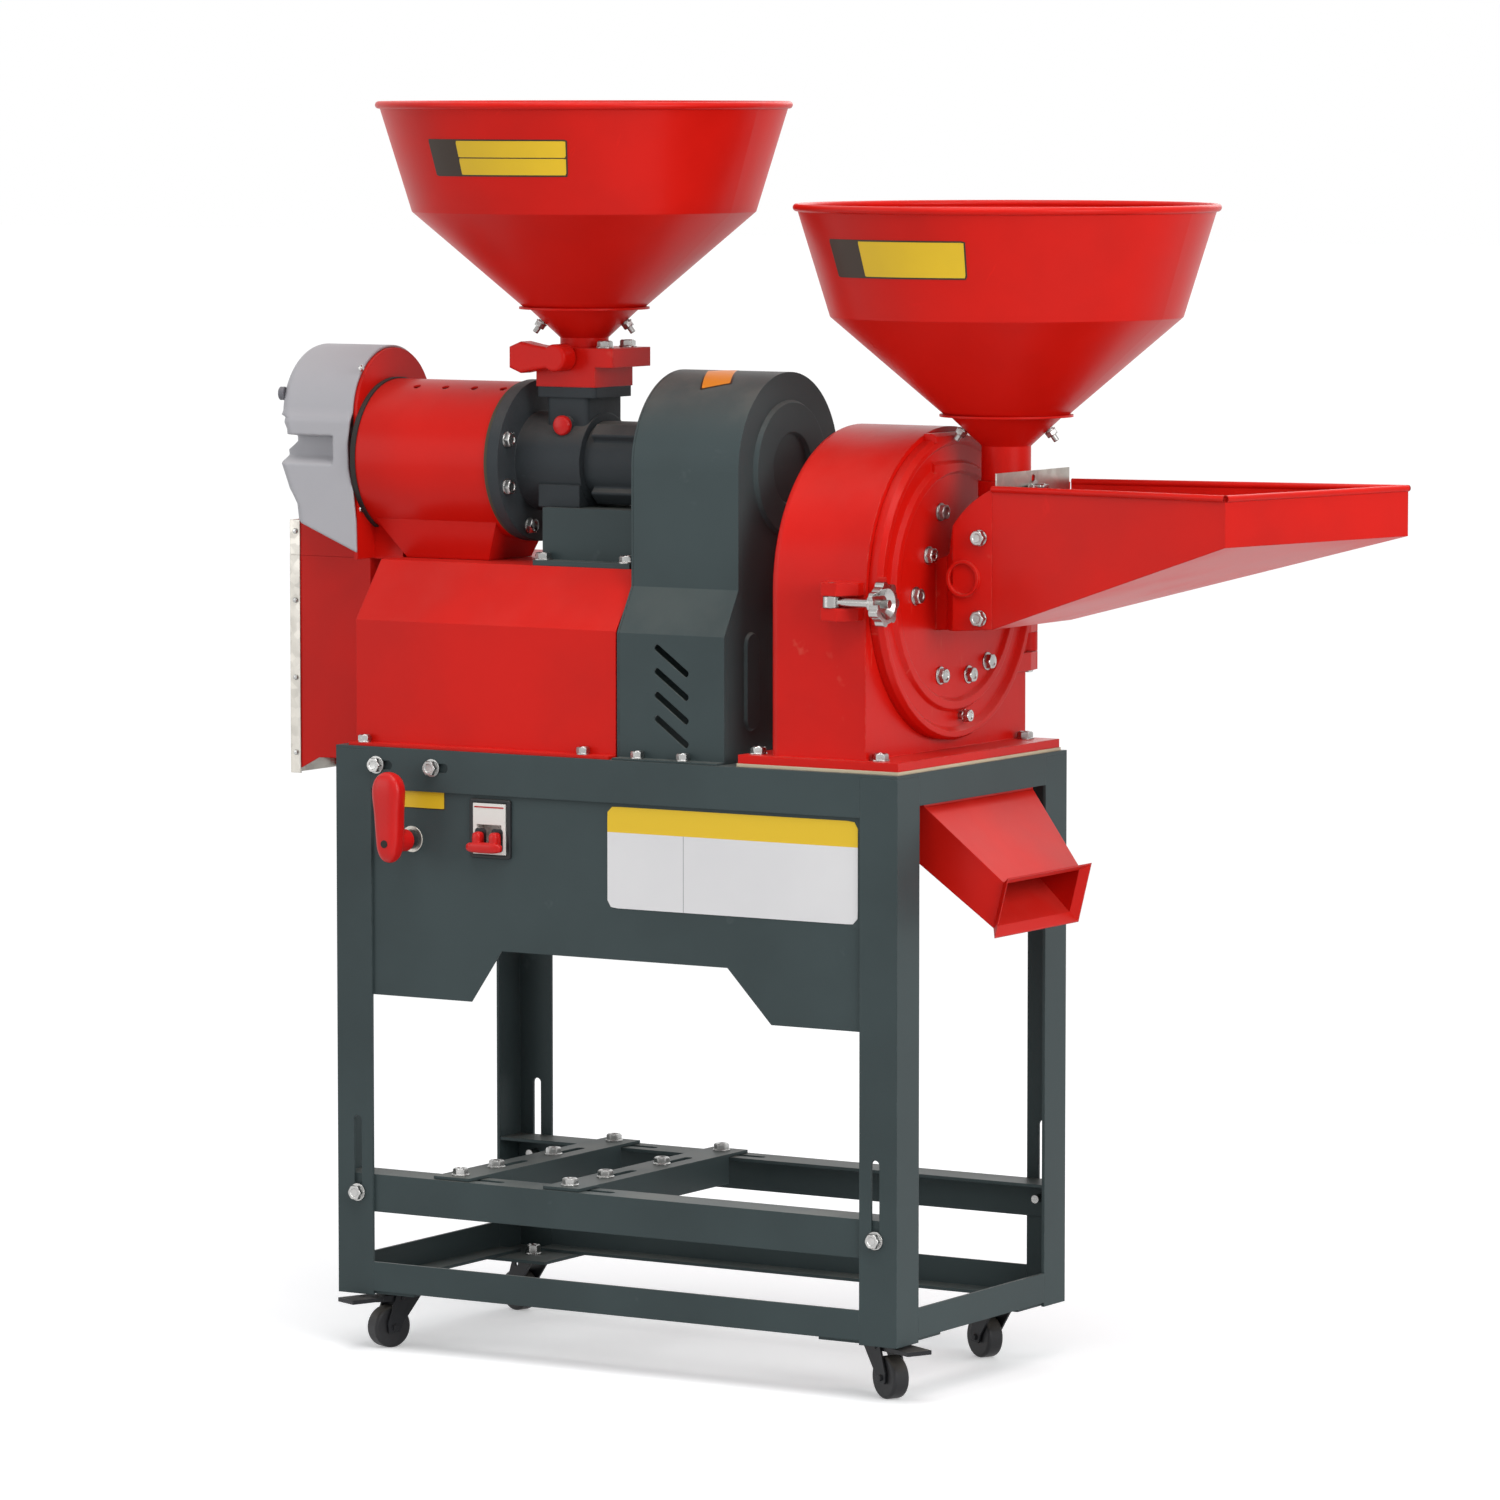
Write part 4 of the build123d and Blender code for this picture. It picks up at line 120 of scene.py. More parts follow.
sky_mix = wires.nodes.new("ShaderNodeMixShader")
wires.links.new(ray.outputs["Is Camera Ray"], seen.inputs[0])
wires.links.new(ray.outputs["Is Glossy Ray"], seen.inputs[1])
wires.links.new(seen.outputs[0], through.inputs[0])
wires.links.new(ray.outputs["Is Transmission Ray"], through.inputs[1])
wires.links.new(through.outputs[0], sky_mix.inputs["Fac"])
wires.links.new(grey_light.outputs[0], sky_mix.inputs[1])
wires.links.new(white_seen.outputs[0], sky_mix.inputs[2])
wires.links.new(sky_mix.outputs[0], sky_out.inputs["Surface"])

# %% [markdown]
# ## Short ways to make materials
# Colours are easiest to judge as the eye sees them, from 0 to 255, so `paint_level` turns them into the
# linear numbers that shaders use. `Wires` adds nodes and links to a material or group in one line each.

# %% Colour and node helpers


def paint_level(red, green, blue):
    """Linear colour of a paint given as the eye sees it, from 0 to 255."""
    level = np.array([red, green, blue]) / 255.0
    linear = np.where(level <= 0.04045, level / 12.92, ((level + 0.055) / 1.055) ** 2.4)
    return tuple(float(v) for v in linear) + (1.0,)


class Wires:
    """Adds nodes to one tree; the values of a node's inputs are numbers, colours or other nodes' outputs."""

    def __init__(self, tree):
        self.tree = tree

    def add(self, kind, inputs=None, **settings):
        """A node of a kind with its settings, and its inputs by name or number."""
        node = self.tree.nodes.new("ShaderNode" + kind)
        for name, value in settings.items():
            setattr(node, name, value)
        for name, value in (inputs or {}).items():
            if isinstance(value, bpy.types.NodeSocket):
                self.tree.links.new(value, node.inputs[name])
            else:
                node.inputs[name].default_value = value
        return node

    def number(self, operation, first, second=0.0, clamp=False):
        """Output of a sum on two numbers."""
        return self.add("Math", {0: first, 1: second}, operation=operation, use_clamp=clamp).outputs[0]

    def between(self, value, low, high, to_low=0.0, to_high=1.0):
        """A value moved smoothly from one range to another and held at its ends."""
        inputs = {"Value": value, "From Min": low, "From Max": high, "To Min": to_low, "To Max": to_high}
        return self.add("MapRange", inputs, interpolation_type="SMOOTHSTEP").outputs["Result"]

    def noise(self, place, scale, detail=3.0, roughness=0.5):
        """Noise of a scale, in lumps per metre, at a place."""
        inputs = {"Vector": place, "Scale": scale, "Detail": detail, "Roughness": roughness}
        return self.add("TexNoise", inputs).outputs["Fac"]

    def colours(self, share, first, second):
        """First colour where the share is 0, second where it is 1."""
        node = self.add("Mix", data_type="RGBA")
        for socket, value in zip((node.inputs[0], node.inputs[6], node.inputs[7]), (share, first, second)):
            if isinstance(value, bpy.types.NodeSocket):
                self.tree.links.new(value, socket)
            else:
                socket.default_value = value
        return node.outputs[2]


class Effect(Wires):
    """A node group shared by several finishes: number inputs with their usual values, and named outputs."""

    def __init__(self, name, inputs, outputs):
        super().__init__(bpy.data.node_groups.new(name, "ShaderNodeTree"))
        for label, value in inputs.items():
            socket = self.tree.interface.new_socket(label, in_out="INPUT", socket_type="NodeSocketFloat")
            socket.default_value = value
        for label, kind in outputs.items():
            self.tree.interface.new_socket(label, in_out="OUTPUT", socket_type="NodeSocket" + kind)
        self.given = self.tree.nodes.new("NodeGroupInput").outputs
        self.results = self.tree.nodes.new("NodeGroupOutput").inputs
        self.place = self.add("TexCoord").outputs["Object"]

    def give(self, label, socket):
        """Sends a value out of the group under its name."""
        self.tree.links.new(socket, self.results[label])


class Finish(Wires):
    """A material with its Principled shader. Constants go straight onto the shader's own sockets."""

    def __init__(self, name, **constants):
        self.material = bpy.data.materials.new(name)
        self.material.use_nodes = True
        super().__init__(self.material.node_tree)
        self.tree.nodes.clear()
        self.shader = self.add("BsdfPrincipled")
        output = self.add("OutputMaterial")
        self.tree.links.new(self.shader.outputs[0], output.inputs["Surface"])
        for label, value in constants.items():
            self.shader.inputs[label.replace("_", " ")].default_value = value
        self.place = self.add("TexCoord").outputs["Object"]

    def use(self, effect, **inputs):
        """Adds a shared effect with its inputs and returns its outputs."""
        node = self.tree.nodes.new("ShaderNodeGroup")
        node.node_tree = effect.tree
        for label, value in inputs.items():
            node.inputs[label].default_value = value
        return node.outputs

    def drive(self, **sockets):
        """Links outputs to the shader's sockets by name."""
        for label, socket in sockets.items():
            self.tree.links.new(socket, self.shader.inputs[label.replace("_", " ")])

    def raised(self, height, depth, normal):
        """Normal of a surface whose skin stands up by depth, in metres, where height is 1."""
        inputs = {"Height": height, "Distance": depth, "Strength": 1.0, "Normal": normal}
        return self.add("Bump", inputs).outputs["Normal"]


print("red paint in linear numbers:", [round(v, 3) for v in paint_level(208, 36, 26)])

# %% [markdown]
# ## Effects that many finishes share
# Folded sheet and castings never have knife edges, so one group rounds the shading at edges and says
# where paint is rubbed. Others give the small waves of sprayed paint, the grit of a casting, slow changes
# of tone, dust on what looks up, and thin scuffs. Each node group gives a mask, a height or a normal.

# %% Soft edges and rubbed edges
soft_edge = Effect("soft_edge", {"Radius": 0.0012, "Rubbed": 0.3}, {"Normal": "Vector", "Worn": "Float"})
rounded = soft_edge.add("Bevel", {"Radius": soft_edge.given["Radius"]}, samples=4)
plain_normal = soft_edge.add("NewGeometry").outputs["Normal"]
agreement = soft_edge.add("VectorMath", {0: rounded.outputs[0], 1: plain_normal}, operation="DOT_PRODUCT")
turned_away = soft_edge.number("SUBTRACT", 1.0, agreement.outputs["Value"])
chips = soft_edge.between(soft_edge.noise(soft_edge.place, 95.0, 4.0, 0.65), 0.44, 0.62)
at_edge = soft_edge.between(turned_away, 0.03, 0.22)
worn = soft_edge.number("MULTIPLY", soft_edge.number("MULTIPLY", chips, at_edge), soft_edge.given["Rubbed"])
soft_edge.give("Normal", rounded.outputs[0])
soft_edge.give("Worn", worn)
print("soft_edge nodes:", len(soft_edge.tree.nodes))

# %% Skins: sprayed paint, cast grit and moulded grain
paint_skin = Effect("paint_skin", {"Fineness": 520.0}, {"Height": "Float"})
fineness = paint_skin.given["Fineness"]
waves = paint_skin.add("TexNoise", {"Vector": paint_skin.place, "Scale": fineness, "Detail": 2.0})
paint_skin.give("Height", waves.outputs["Fac"])

cast_skin = Effect("cast_skin", {"Fineness": 240.0}, {"Height": "Float", "Pits": "Float"})
fineness = cast_skin.given["Fineness"]
grain = {"Vector": cast_skin.place, "Scale": fineness, "Detail": 5.0, "Roughness": 0.62}
grit = cast_skin.add("TexNoise", grain)
lumps = cast_skin.noise(cast_skin.place, 70.0, 2.0)
cast_height = cast_skin.number("ADD", cast_skin.number("MULTIPLY", grit.outputs["Fac"], 0.6),
                               cast_skin.number("MULTIPLY", lumps, 0.9))
cast_skin.give("Height", cast_height)
cast_skin.give("Pits", cast_skin.between(grit.outputs["Fac"], 0.46, 0.36))
print("skins:", paint_skin.tree.name, cast_skin.tree.name)

# %% Slow changes: tone, sheet waves, dust and scuffs
tone_drift = Effect("tone_drift", {"Size": 6.0}, {"Tone": "Float"})
size = tone_drift.given["Size"]
drift = tone_drift.add("TexNoise", {"Vector": tone_drift.place, "Scale": size, "Detail": 4.0})
tone_drift.give("Tone", tone_drift.between(drift.outputs["Fac"], 0.3, 0.7))

sheet_wave = Effect("sheet_wave", {"Size": 7.0}, {"Height": "Float"})
size = sheet_wave.given["Size"]
wave = sheet_wave.add("TexNoise", {"Vector": sheet_wave.place, "Scale": size, "Detail": 0.0})
sheet_wave.give("Height", wave.outputs["Fac"])

dust_film = Effect("dust_film", {"Amount": 0.15}, {"Film": "Float"})
up = dust_film.add("SeparateXYZ", {0: dust_film.add("NewGeometry").outputs["Normal"]}).outputs["Z"]
settled = dust_film.between(up, 0.25, 0.95)
patches = dust_film.between(dust_film.noise(dust_film.place, 14.0, 5.0, 0.6), 0.35, 0.7, 0.35, 1.0)
film = dust_film.number("MULTIPLY", settled, patches)
dust_film.give("Film", dust_film.number("MULTIPLY", film, dust_film.given["Amount"]))

scuffs = Effect("scuffs", {"Amount": 0.3}, {"Mark": "Float"})
slant = {"Vector": scuffs.place, "Rotation": (0.5, 0.3, 0.7), "Scale": (5.0, 60.0, 5.0)}
stretched = scuffs.add("Mapping", slant)
streak = scuffs.between(scuffs.noise(stretched.outputs[0], 6.0, 3.0, 0.6), 0.66, 0.74)
where = scuffs.between(scuffs.noise(scuffs.place, 8.0, 2.0), 0.5, 0.62)
mark = scuffs.number("MULTIPLY", streak, where)
scuffs.give("Mark", scuffs.number("MULTIPLY", mark, scuffs.given["Amount"]))
print("shared effects:", [g.name for g in bpy.data.node_groups])

# %% [markdown]
# ## Paint
# Most of the machine is powder-coated sheet: bright red on hoppers, covers and ducts, a dark grey-green on
# the stand and the belt guard. The coat is semi-gloss with fine waves, a shade lighter at rubbed edges.
# One recipe makes them all, with a colour, a gloss and a skin of their own.

# %% Painted sheet and painted castings
DUST = paint_level(206, 196, 180)


def scaled(colour, factor):
    """The same hue, lighter or darker."""
    return tuple(min(1.0, v * factor) for v in colour[:3]) + (1.0,)


def painted(name, colour, rough, skin_depth=0.00003, wave_depth=0.0004, rubbed=0.25, dust=0.10, marks=0.12,
            cast=False, coat=0.1, bare=None):
    """Sprayed or baked paint: tone drifts, edges are rubbed, dust lies on top, the skin has fine waves."""
    f = Finish(name, Coat_Weight=coat, Coat_Roughness=0.25, Specular_IOR_Level=0.11)
    edge = f.use(soft_edge, Radius=0.002 if cast else 0.0012, Rubbed=rubbed)
    tone = f.use(tone_drift)["Tone"]
    body = f.colours(tone, scaled(colour, 0.88), scaled(colour, 1.08))
    mark = f.use(scuffs, Amount=marks)["Mark"]
    body = f.colours(mark, body, bare or scaled(colour, 1.9))
    body = f.colours(edge["Worn"], body, bare or scaled(colour, 1.7))
    film = f.use(dust_film, Amount=dust)["Film"]
    body = f.colours(film, body, DUST)
    paint_gloss = f.between(tone, 0.0, 1.0, rough - 0.04, rough + 0.05)
    gloss = f.number("ADD", paint_gloss, f.number("MULTIPLY", film, 0.5))
    normal = f.raised(f.use(sheet_wave)["Height"], wave_depth, edge["Normal"])
    if cast:
        skin = f.use(cast_skin)
        normal = f.raised(skin["Height"], skin_depth, normal)
    else:
        normal = f.raised(f.use(paint_skin)["Height"], skin_depth, normal)
    f.drive(Base_Color=body, Roughness=gloss, Normal=normal)
    return f.material


finishes = {
    "red_paint": painted("red_powder_coat", paint_level(208, 24, 14), 0.40, dust=0.04),
    "red_cast": painted("red_enamel_on_casting", paint_level(208, 22, 13), 0.36, dust=0.05, cast=True,
                        skin_depth=0.00016, wave_depth=0.0006, coat=0.12, marks=0.2,
                        bare=paint_level(226, 120, 100)),
    "grey_paint": painted("grey_green_powder_coat", paint_level(63, 74, 75), 0.46, skin_depth=0.00004,
                          marks=0.1, coat=0.05, dust=0.12, bare=paint_level(120, 130, 130)),
    "dark_cast": painted("dark_paint_on_casting", paint_level(58, 63, 66), 0.5, skin_depth=0.0003, cast=True,
                         coat=0.0, dust=0.14, marks=0.1, bare=paint_level(105, 110, 112)),
}
print("painted finishes:", sorted(finishes))

# %% [markdown]
# ## Bare metal
# Bolts are zinc-plated, the gate plate and the duct's strip are galvanised sheet with a faint spangle, the
# clamp's knob is chromed, and the parts inside are turned or cast. They differ in tint, gloss and texture.

# %% Metals


def metal(name, colour, rough, spread=0.08, skin_depth=0.00002, spangle=0.0, brushed=0.0, dark=0.75):
    """Bare metal: its tint and gloss change in small patches, with crystals, brush lines or cast grit."""
    f = Finish(name, Metallic=1.0)
    edge = f.use(soft_edge, Radius=0.0008, Rubbed=0.0)
    tone = f.use(tone_drift, Size=28.0)["Tone"]
    if spangle:
        cells = f.add("TexVoronoi", {"Vector": f.place, "Scale": 130.0}).outputs["Color"]
        flake = f.add("SeparateColor", {0: cells}).outputs[0]
        plain = f.number("MULTIPLY", tone, 1.0 - spangle)
        tone = f.number("ADD", plain, f.number("MULTIPLY", flake, spangle))
    if brushed:
        lines = f.add("Mapping", {"Vector": f.place, "Scale": (12.0, 12.0, 900.0)}).outputs[0]
        plain = f.number("MULTIPLY", tone, 1.0 - brushed)
        tone = f.number("ADD", plain, f.number("MULTIPLY", f.noise(lines, 1.0), brushed))
    body = f.colours(tone, scaled(colour, dark), colour)
    body = f.colours(edge["Worn"], body, scaled(colour, 1.3))
    gloss = f.between(tone, 0.0, 1.0, rough + spread, rough - spread)
    normal = f.raised(f.use(cast_skin, Fineness=420.0)["Height"], skin_depth, edge["Normal"])
    f.drive(Base_Color=body, Roughness=gloss, Normal=normal)
    return f.material


finishes["zinc"] = metal("zinc_plated_bolt", paint_level(192, 192, 190), 0.30, spangle=0.25, dark=0.6)
finishes["galvanised"] = metal("galvanised_sheet", paint_level(196, 192, 184), 0.36, spangle=0.45, dark=0.72)
finishes["chrome"] = metal("chromed_casting", paint_level(172, 170, 168), 0.27, spread=0.06,
                           skin_depth=0.00012)
finishes["steel"] = metal("turned_steel", paint_level(176, 174, 170), 0.32, brushed=0.5)
finishes["raw_cast"] = metal("raw_cast_iron", paint_level(112, 110, 108), 0.55, skin_depth=0.0003, dark=0.6)
print("finishes so far:", len(finishes))

# %% [markdown]
# ## Plastics, rubber and black parts
# The hood over the rice outlet is moulded in light grey plastic with a faint grain. The handle and toggles
# are glossy red, the breaker is white with black around it, the casters are black nylon on black forks, and
# a pale board lies between the crusher and the deck.

# %% Plastics and the rest


def moulded(name, colour, rough, grain=0.00003, fine=650.0, drift=0.05, dust=0.08, radius=0.0012):
    """Moulded plastic: an even colour with a faint drift, a fine grain, soft edges and a little dust."""
    f = Finish(name, Specular_IOR_Level=0.3)
    edge = f.use(soft_edge, Radius=radius, Rubbed=0.12)
    tone = f.use(tone_drift, Size=9.0)["Tone"]
    body = f.colours(tone, scaled(colour, 1.0 - drift), scaled(colour, 1.0 + drift))
    body = f.colours(edge["Worn"], body, scaled(colour, 1.5))
    film = f.use(dust_film, Amount=dust)["Film"]
    body = f.colours(film, body, DUST)
    gloss = f.between(tone, 0.0, 1.0, rough - 0.05, rough + 0.05)
    normal = f.raised(f.use(paint_skin, Fineness=fine)["Height"], grain, edge["Normal"])
    f.drive(Base_Color=body, Roughness=gloss, Normal=normal)
    return f.material


finishes["hood_plastic"] = moulded("grey_hood_plastic", paint_level(176, 175, 179), 0.50, radius=0.003,
                                   drift=0.03)
finishes["red_plastic"] = moulded("red_handle_plastic", paint_level(204, 20, 18), 0.34, grain=0.00005,
                                  radius=0.002, dust=0.02)
finishes["white_plastic"] = moulded("white_breaker_plastic", paint_level(232, 228, 222), 0.42,
                                    radius=0.0008, drift=0.02)
finishes["black_plastic"] = moulded("black_plastic", paint_level(34, 35, 37), 0.4, radius=0.001)
finishes["nylon"] = moulded("black_nylon_wheel", paint_level(38, 38, 40), 0.42, grain=0.00008,
                            radius=0.0015, dust=0.3)
finishes["gasket"] = moulded("pale_board", paint_level(206, 192, 164), 0.85, grain=0.0002, fine=240.0,
                             drift=0.12)
finishes["black_steel"] = painted("black_caster_steel", paint_level(36, 37, 40), 0.38, skin_depth=0.00003,
                                  marks=0.2, coat=0.2, bare=paint_level(120, 120, 120))
seam_rubber = moulded("seam_rubber", paint_level(38, 34, 32), 0.7)
olive_gasket = moulded("olive_gasket", paint_level(74, 68, 52), 0.7, grain=0.0001)
print("finishes:", len(finishes))

# %% [markdown]
# ## The CAD nodes get their finishes
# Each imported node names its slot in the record. The slot picks the finish, so no plain solid is left.

# %% Finishes on the CAD nodes
for node in nodes.values():
    for material_slot in node.material_slots:
        slot_name = material_slot.material.name.split(".")[0]
        material_slot.material = finishes[slot_name]
print("nodes dressed:", len(nodes))

# %% [markdown]
# ## Small shapes as surfaces
# Every added piece is a surface over two parameters: rows of points along one, columns along the other.
# Whole arrays are worked out at once with numpy. Lengths are written in millimetres and divided at the end.

# %% Grids of points and the pieces made of them


def quads(rows, columns, close_columns=True):
    """Faces between neighbours of a grid whose columns close into a ring."""
    r = np.arange(rows - 1)
    c = np.arange(columns if close_columns else columns - 1)
    r, c = np.meshgrid(r, c, indexing="ij")
    after = (c + 1) % columns
    corners = [r * columns + c, r * columns + after, (r + 1) * columns + after, (r + 1) * columns + c]
    return np.stack(corners, axis=-1).reshape(-1, 4)


def directions(along):
    """Two unit vectors across an axis, and the axis itself."""
    along = np.asarray(along, float) / np.linalg.norm(along)
    helper = np.array([0.0, 0.0, 1.0]) if abs(along[2]) < 0.9 else np.array([1.0, 0.0, 0.0])
    side = np.cross(helper, along)
    side /= np.linalg.norm(side)
    return side, np.cross(along, side), along


def turned(profile, place, along, steps=40):
    """Turned shape: point = place + height * axis + radius * (cos a * side + sin a * other side)."""
    profile = np.asarray(profile, float)
    side, other, axis = directions(along)
    angle = np.linspace(0.0, 2.0 * np.pi, steps, endpoint=False)
    ring = np.cos(angle)[:, None] * side + np.sin(angle)[:, None] * other
    points = np.asarray(place) + profile[:, 1, None, None] * axis + profile[:, 0, None, None] * ring
    return points.reshape(-1, 3), quads(len(profile), steps)


def make_piece(name, shapes, finish, body, crease=32.0):
    """One piece from shapes (points in mm, faces): doubles merged, faces outwards, sharp only at creases."""
    counts = np.cumsum([0] + [len(points) for points, faces in shapes])
    points = np.concatenate([points for points, faces in shapes]) / 1000.0
    faces = np.concatenate([faces + start for (_, faces), start in zip(shapes, counts)])
    mesh = bpy.data.meshes.new(name)
    mesh.from_pydata(points.tolist(), [], faces.tolist())
    shell = bmesh.new()
    shell.from_mesh(mesh)
    bmesh.ops.remove_doubles(shell, verts=shell.verts, dist=1e-6)
    bmesh.ops.dissolve_degenerate(shell, edges=shell.edges, dist=1e-7)
    bmesh.ops.recalc_face_normals(shell, faces=shell.faces)
    shell.to_mesh(mesh)
    shell.free()
    mesh.polygons.foreach_set("use_smooth", np.ones(len(mesh.polygons), bool))
    mesh.set_sharp_from_angle(angle=math.radians(crease))
    mesh.materials.append(finish)
    piece = bpy.data.objects.new(name, mesh)
    scene.collection.objects.link(piece)
    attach(piece, body)
    print(name, "faces:", len(mesh.polygons))
    return piece


def box_mm(name):
    """Lowest and highest corner of a CAD node, in millimetres."""
    low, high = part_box(name)
    return np.array(low) * 1000.0, np.array(high) * 1000.0


# %% Places that several pieces share, in millimetres
MILL_X, MILL_Y = -233.0, -20.5
BARREL_Z = 849.0
CRUSHER_X, CRUSHER_Y = 204.0, 20.5
PANEL_FACE_Y = -148.0
BREAKER_X, BREAKER_FACE_Y, POLE_SPACING = -256.0, -152.0, 9.4
HOPPER_FOOT_RADIUS = 163.0
HOPPER_SLOPE = (194.0 - HOPPER_FOOT_RADIUS) / 100.5
print("hopper walls lean out by", round(HOPPER_SLOPE, 3), "mm in each mm of height")

# %% Thin plates with round corners


def round_outline(width, height, radius, steps=96):
    """Outline of a rectangle with quarter circles at its corners, its points shared out evenly along it."""
    angle = np.arange(4)[:, None] * np.pi / 2.0 + np.linspace(0.0, np.pi / 2.0, 9)
    middle = np.array([[1, 1], [-1, 1], [-1, -1], [1, -1]]) * (width / 2.0 - radius, height / 2.0 - radius)
    points = middle[:, None, :] + radius * np.stack([np.cos(angle), np.sin(angle)], axis=-1)
    closed = np.concatenate([points.reshape(-1, 2), points[0, :1]])
    walked = np.concatenate([[0.0], np.cumsum(np.hypot(*np.diff(closed, axis=0).T))])
    along = np.linspace(0.0, walked[-1], steps, endpoint=False)
    return np.interp(along, walked, closed[:, 0]), np.interp(along, walked, closed[:, 1])


def plate(width, height, radius, thick, surface, rings=12, steps=96):
    """Plate: its outline shrinks to the middle on both sides; surface(u, v, lift) places the points."""
    across, up = round_outline(width, height, radius, steps)
    size = np.concatenate([np.linspace(0.0, 1.0, rings), np.linspace(1.0, 0.0, rings)])[:, None]
    lift = np.where(np.arange(2 * rings) < rings, -0.15, thick)[:, None] + 0.0 * across
    points = surface(size * across, size * up, lift)
    return points.reshape(-1, 3), quads(2 * rings, steps)


def on_front(x, y, z):
    """Places a plate on a face that looks to the front."""

    def surface(u, v, lift):
        return np.stack([x + u, y - lift, z + v], axis=-1)

    return surface


def hopper_radius(z, foot):
    """Radius of a hopper's upper cone at a height: foot radius + slope * (z - foot)."""
    return HOPPER_FOOT_RADIUS + HOPPER_SLOPE * (z - foot)


def on_hopper(x, y, foot, level, middle):
    """Wraps a plate round a hopper's upper cone: angle = middle + u / radius at the plate's level."""

    def surface(u, v, lift):
        z = v + level
        radius = hopper_radius(z, foot) + lift
        angle = middle + u / hopper_radius(level, foot)
        return np.stack([x + radius * np.cos(angle), y + radius * np.sin(angle), z], axis=-1)

    return surface


def moved(surface, across, up):
    """The same surface, for a plate whose middle is moved across and up."""

    def shifted(u, v, lift):
        return surface(u + across, v + up, lift)

    return shifted


print("outline points:", len(round_outline(10.0, 5.0, 1.0)[0]))

# %% [markdown]
# ## Plates on the hoppers
# Each hopper carries a thin plate: a dark backing with a square end at the left and a yellow field. They are
# bare, and wrapped round the cone with its own radius, so that they lie flat on the paint.

# %% Hopper plates
yellow = moulded("plate_yellow", paint_level(228, 188, 38), 0.34, radius=0.0004, drift=0.05, dust=0.03)
dark_print = moulded("plate_dark", paint_level(52, 38, 26), 0.36, radius=0.0004, dust=0.03)


def hopper_plate(name, x, y, foot, body, start, panel_end, end, low, high, rows):
    """Dark backing with yellow rows to the right of its square end."""
    level = (low + high) / 2.0
    around = on_hopper(x, y, foot, level, math.radians((start + end) / 2.0))
    width = math.radians(end - start) * hopper_radius(level, foot)
    make_piece(name + "_backing", [plate(width, high - low, 1.0, 0.25, around, rings=16)], dark_print, body)
    left = math.radians(panel_end - start) * hopper_radius(level, foot)
    field = width - left - 2.0
    row = (high - low - 3.0 - (rows - 1)) / rows
    shift = (left - 2.0) / 2.0 + 0.4
    fields = []
    for number in range(rows):
        drop = (number - (rows - 1) / 2.0) * (row + 1.0)
        fields.append(plate(field, row, 0.4, 0.45, moved(around, shift, drop), rings=14))
    make_piece(name + "_field", fields, yellow, body)


hopper_plate("mill_plate", MILL_X, MILL_Y, 1086.0, "frame", 251.0, 262.4, 298.0, 1121.0, 1155.5, 2)
hopper_plate("crusher_plate", CRUSHER_X, CRUSHER_Y, 993.0, "door", 239.0, 252.8, 288.0, 1031.5, 1066.5, 1)

# %% [markdown]
# ## Plates on the panel and the guard
# The front panel carries a large white plate with a yellow head, and a small yellow one beside the switch.
# A small orange one lies askew over the top of the belt guard. All are bare plates with a thin dividing line
# or a dark border.

# %% Panel plates
white_print = Finish("plate_white", Roughness=0.33, Specular_IOR_Level=0.35)
spot = white_print.add("SeparateXYZ", {0: white_print.place}).outputs
head = white_print.number("GREATER_THAN", spot["Z"], 0.5125)
near_line = {0: spot["X"], 1: -0.0425, 2: 0.00035}
line = white_print.add("Math", near_line, operation="COMPARE").outputs[0]
below = white_print.number("MULTIPLY", line, white_print.number("SUBTRACT", 1.0, head))
tone = white_print.use(tone_drift, Size=5.0)["Tone"]
paper_tone = white_print.colours(tone, paint_level(222, 221, 222), paint_level(230, 229, 229))
lined = white_print.colours(below, paper_tone, paint_level(150, 150, 152))
headed = white_print.colours(head, lined, paint_level(232, 192, 38))
white_print.drive(Base_Color=headed)
on_panel = on_front(9.8, PANEL_FACE_Y, 489.0)
make_piece("panel_plate", [plate(271.5, 95.0, 7.0, 0.5, on_panel, rings=4)], white_print.material, "frame")
by_switch = on_front(-334.2, PANEL_FACE_Y, 532.9)
make_piece("switch_plate_backing", [plate(51.6, 19.0, 0.8, 0.25, by_switch, rings=3)], dark_print, "frame")
make_piece("switch_plate_field", [plate(50.0, 17.4, 0.5, 0.45, by_switch, rings=3)], yellow, "frame")

# %% Guard plate
orange = moulded("plate_orange", paint_level(226, 138, 34), 0.36, radius=0.0004, dust=0.05)
guard_radius = 90.0


def over_guard(u, v, lift):
    """Lays a plate askew over the guard's round top: angle = middle + arc / radius."""
    askew = math.radians(22.0)
    along = u * math.cos(askew) - v * math.sin(askew)
    arc = u * math.sin(askew) + v * math.cos(askew)
    angle = math.radians(107.5) - arc / guard_radius
    radius = guard_radius + lift
    y = MILL_Y + radius * np.cos(angle)
    z = BARREL_Z + radius * np.sin(angle)
    return np.stack([-66.0 + along, y, z], axis=-1)


make_piece("guard_plate_backing", [plate(31.0, 48.0, 1.0, 0.3, over_guard)], dark_print, "frame")
make_piece("guard_plate_field", [plate(27.6, 44.6, 0.6, 0.5, over_guard)], orange, "frame")

# %% [markdown]
# ## Bolts
# The CAD bolts are plain hexagons on washers. Real heads are chamfered to a circle at the top and have a
# shallow dish, and their washers have broken edges. One formula makes them all: the radius is the smaller of
# a turned profile and the flat of a hexagon, so the chamfer's curved edge comes by itself.

# %% One bolt


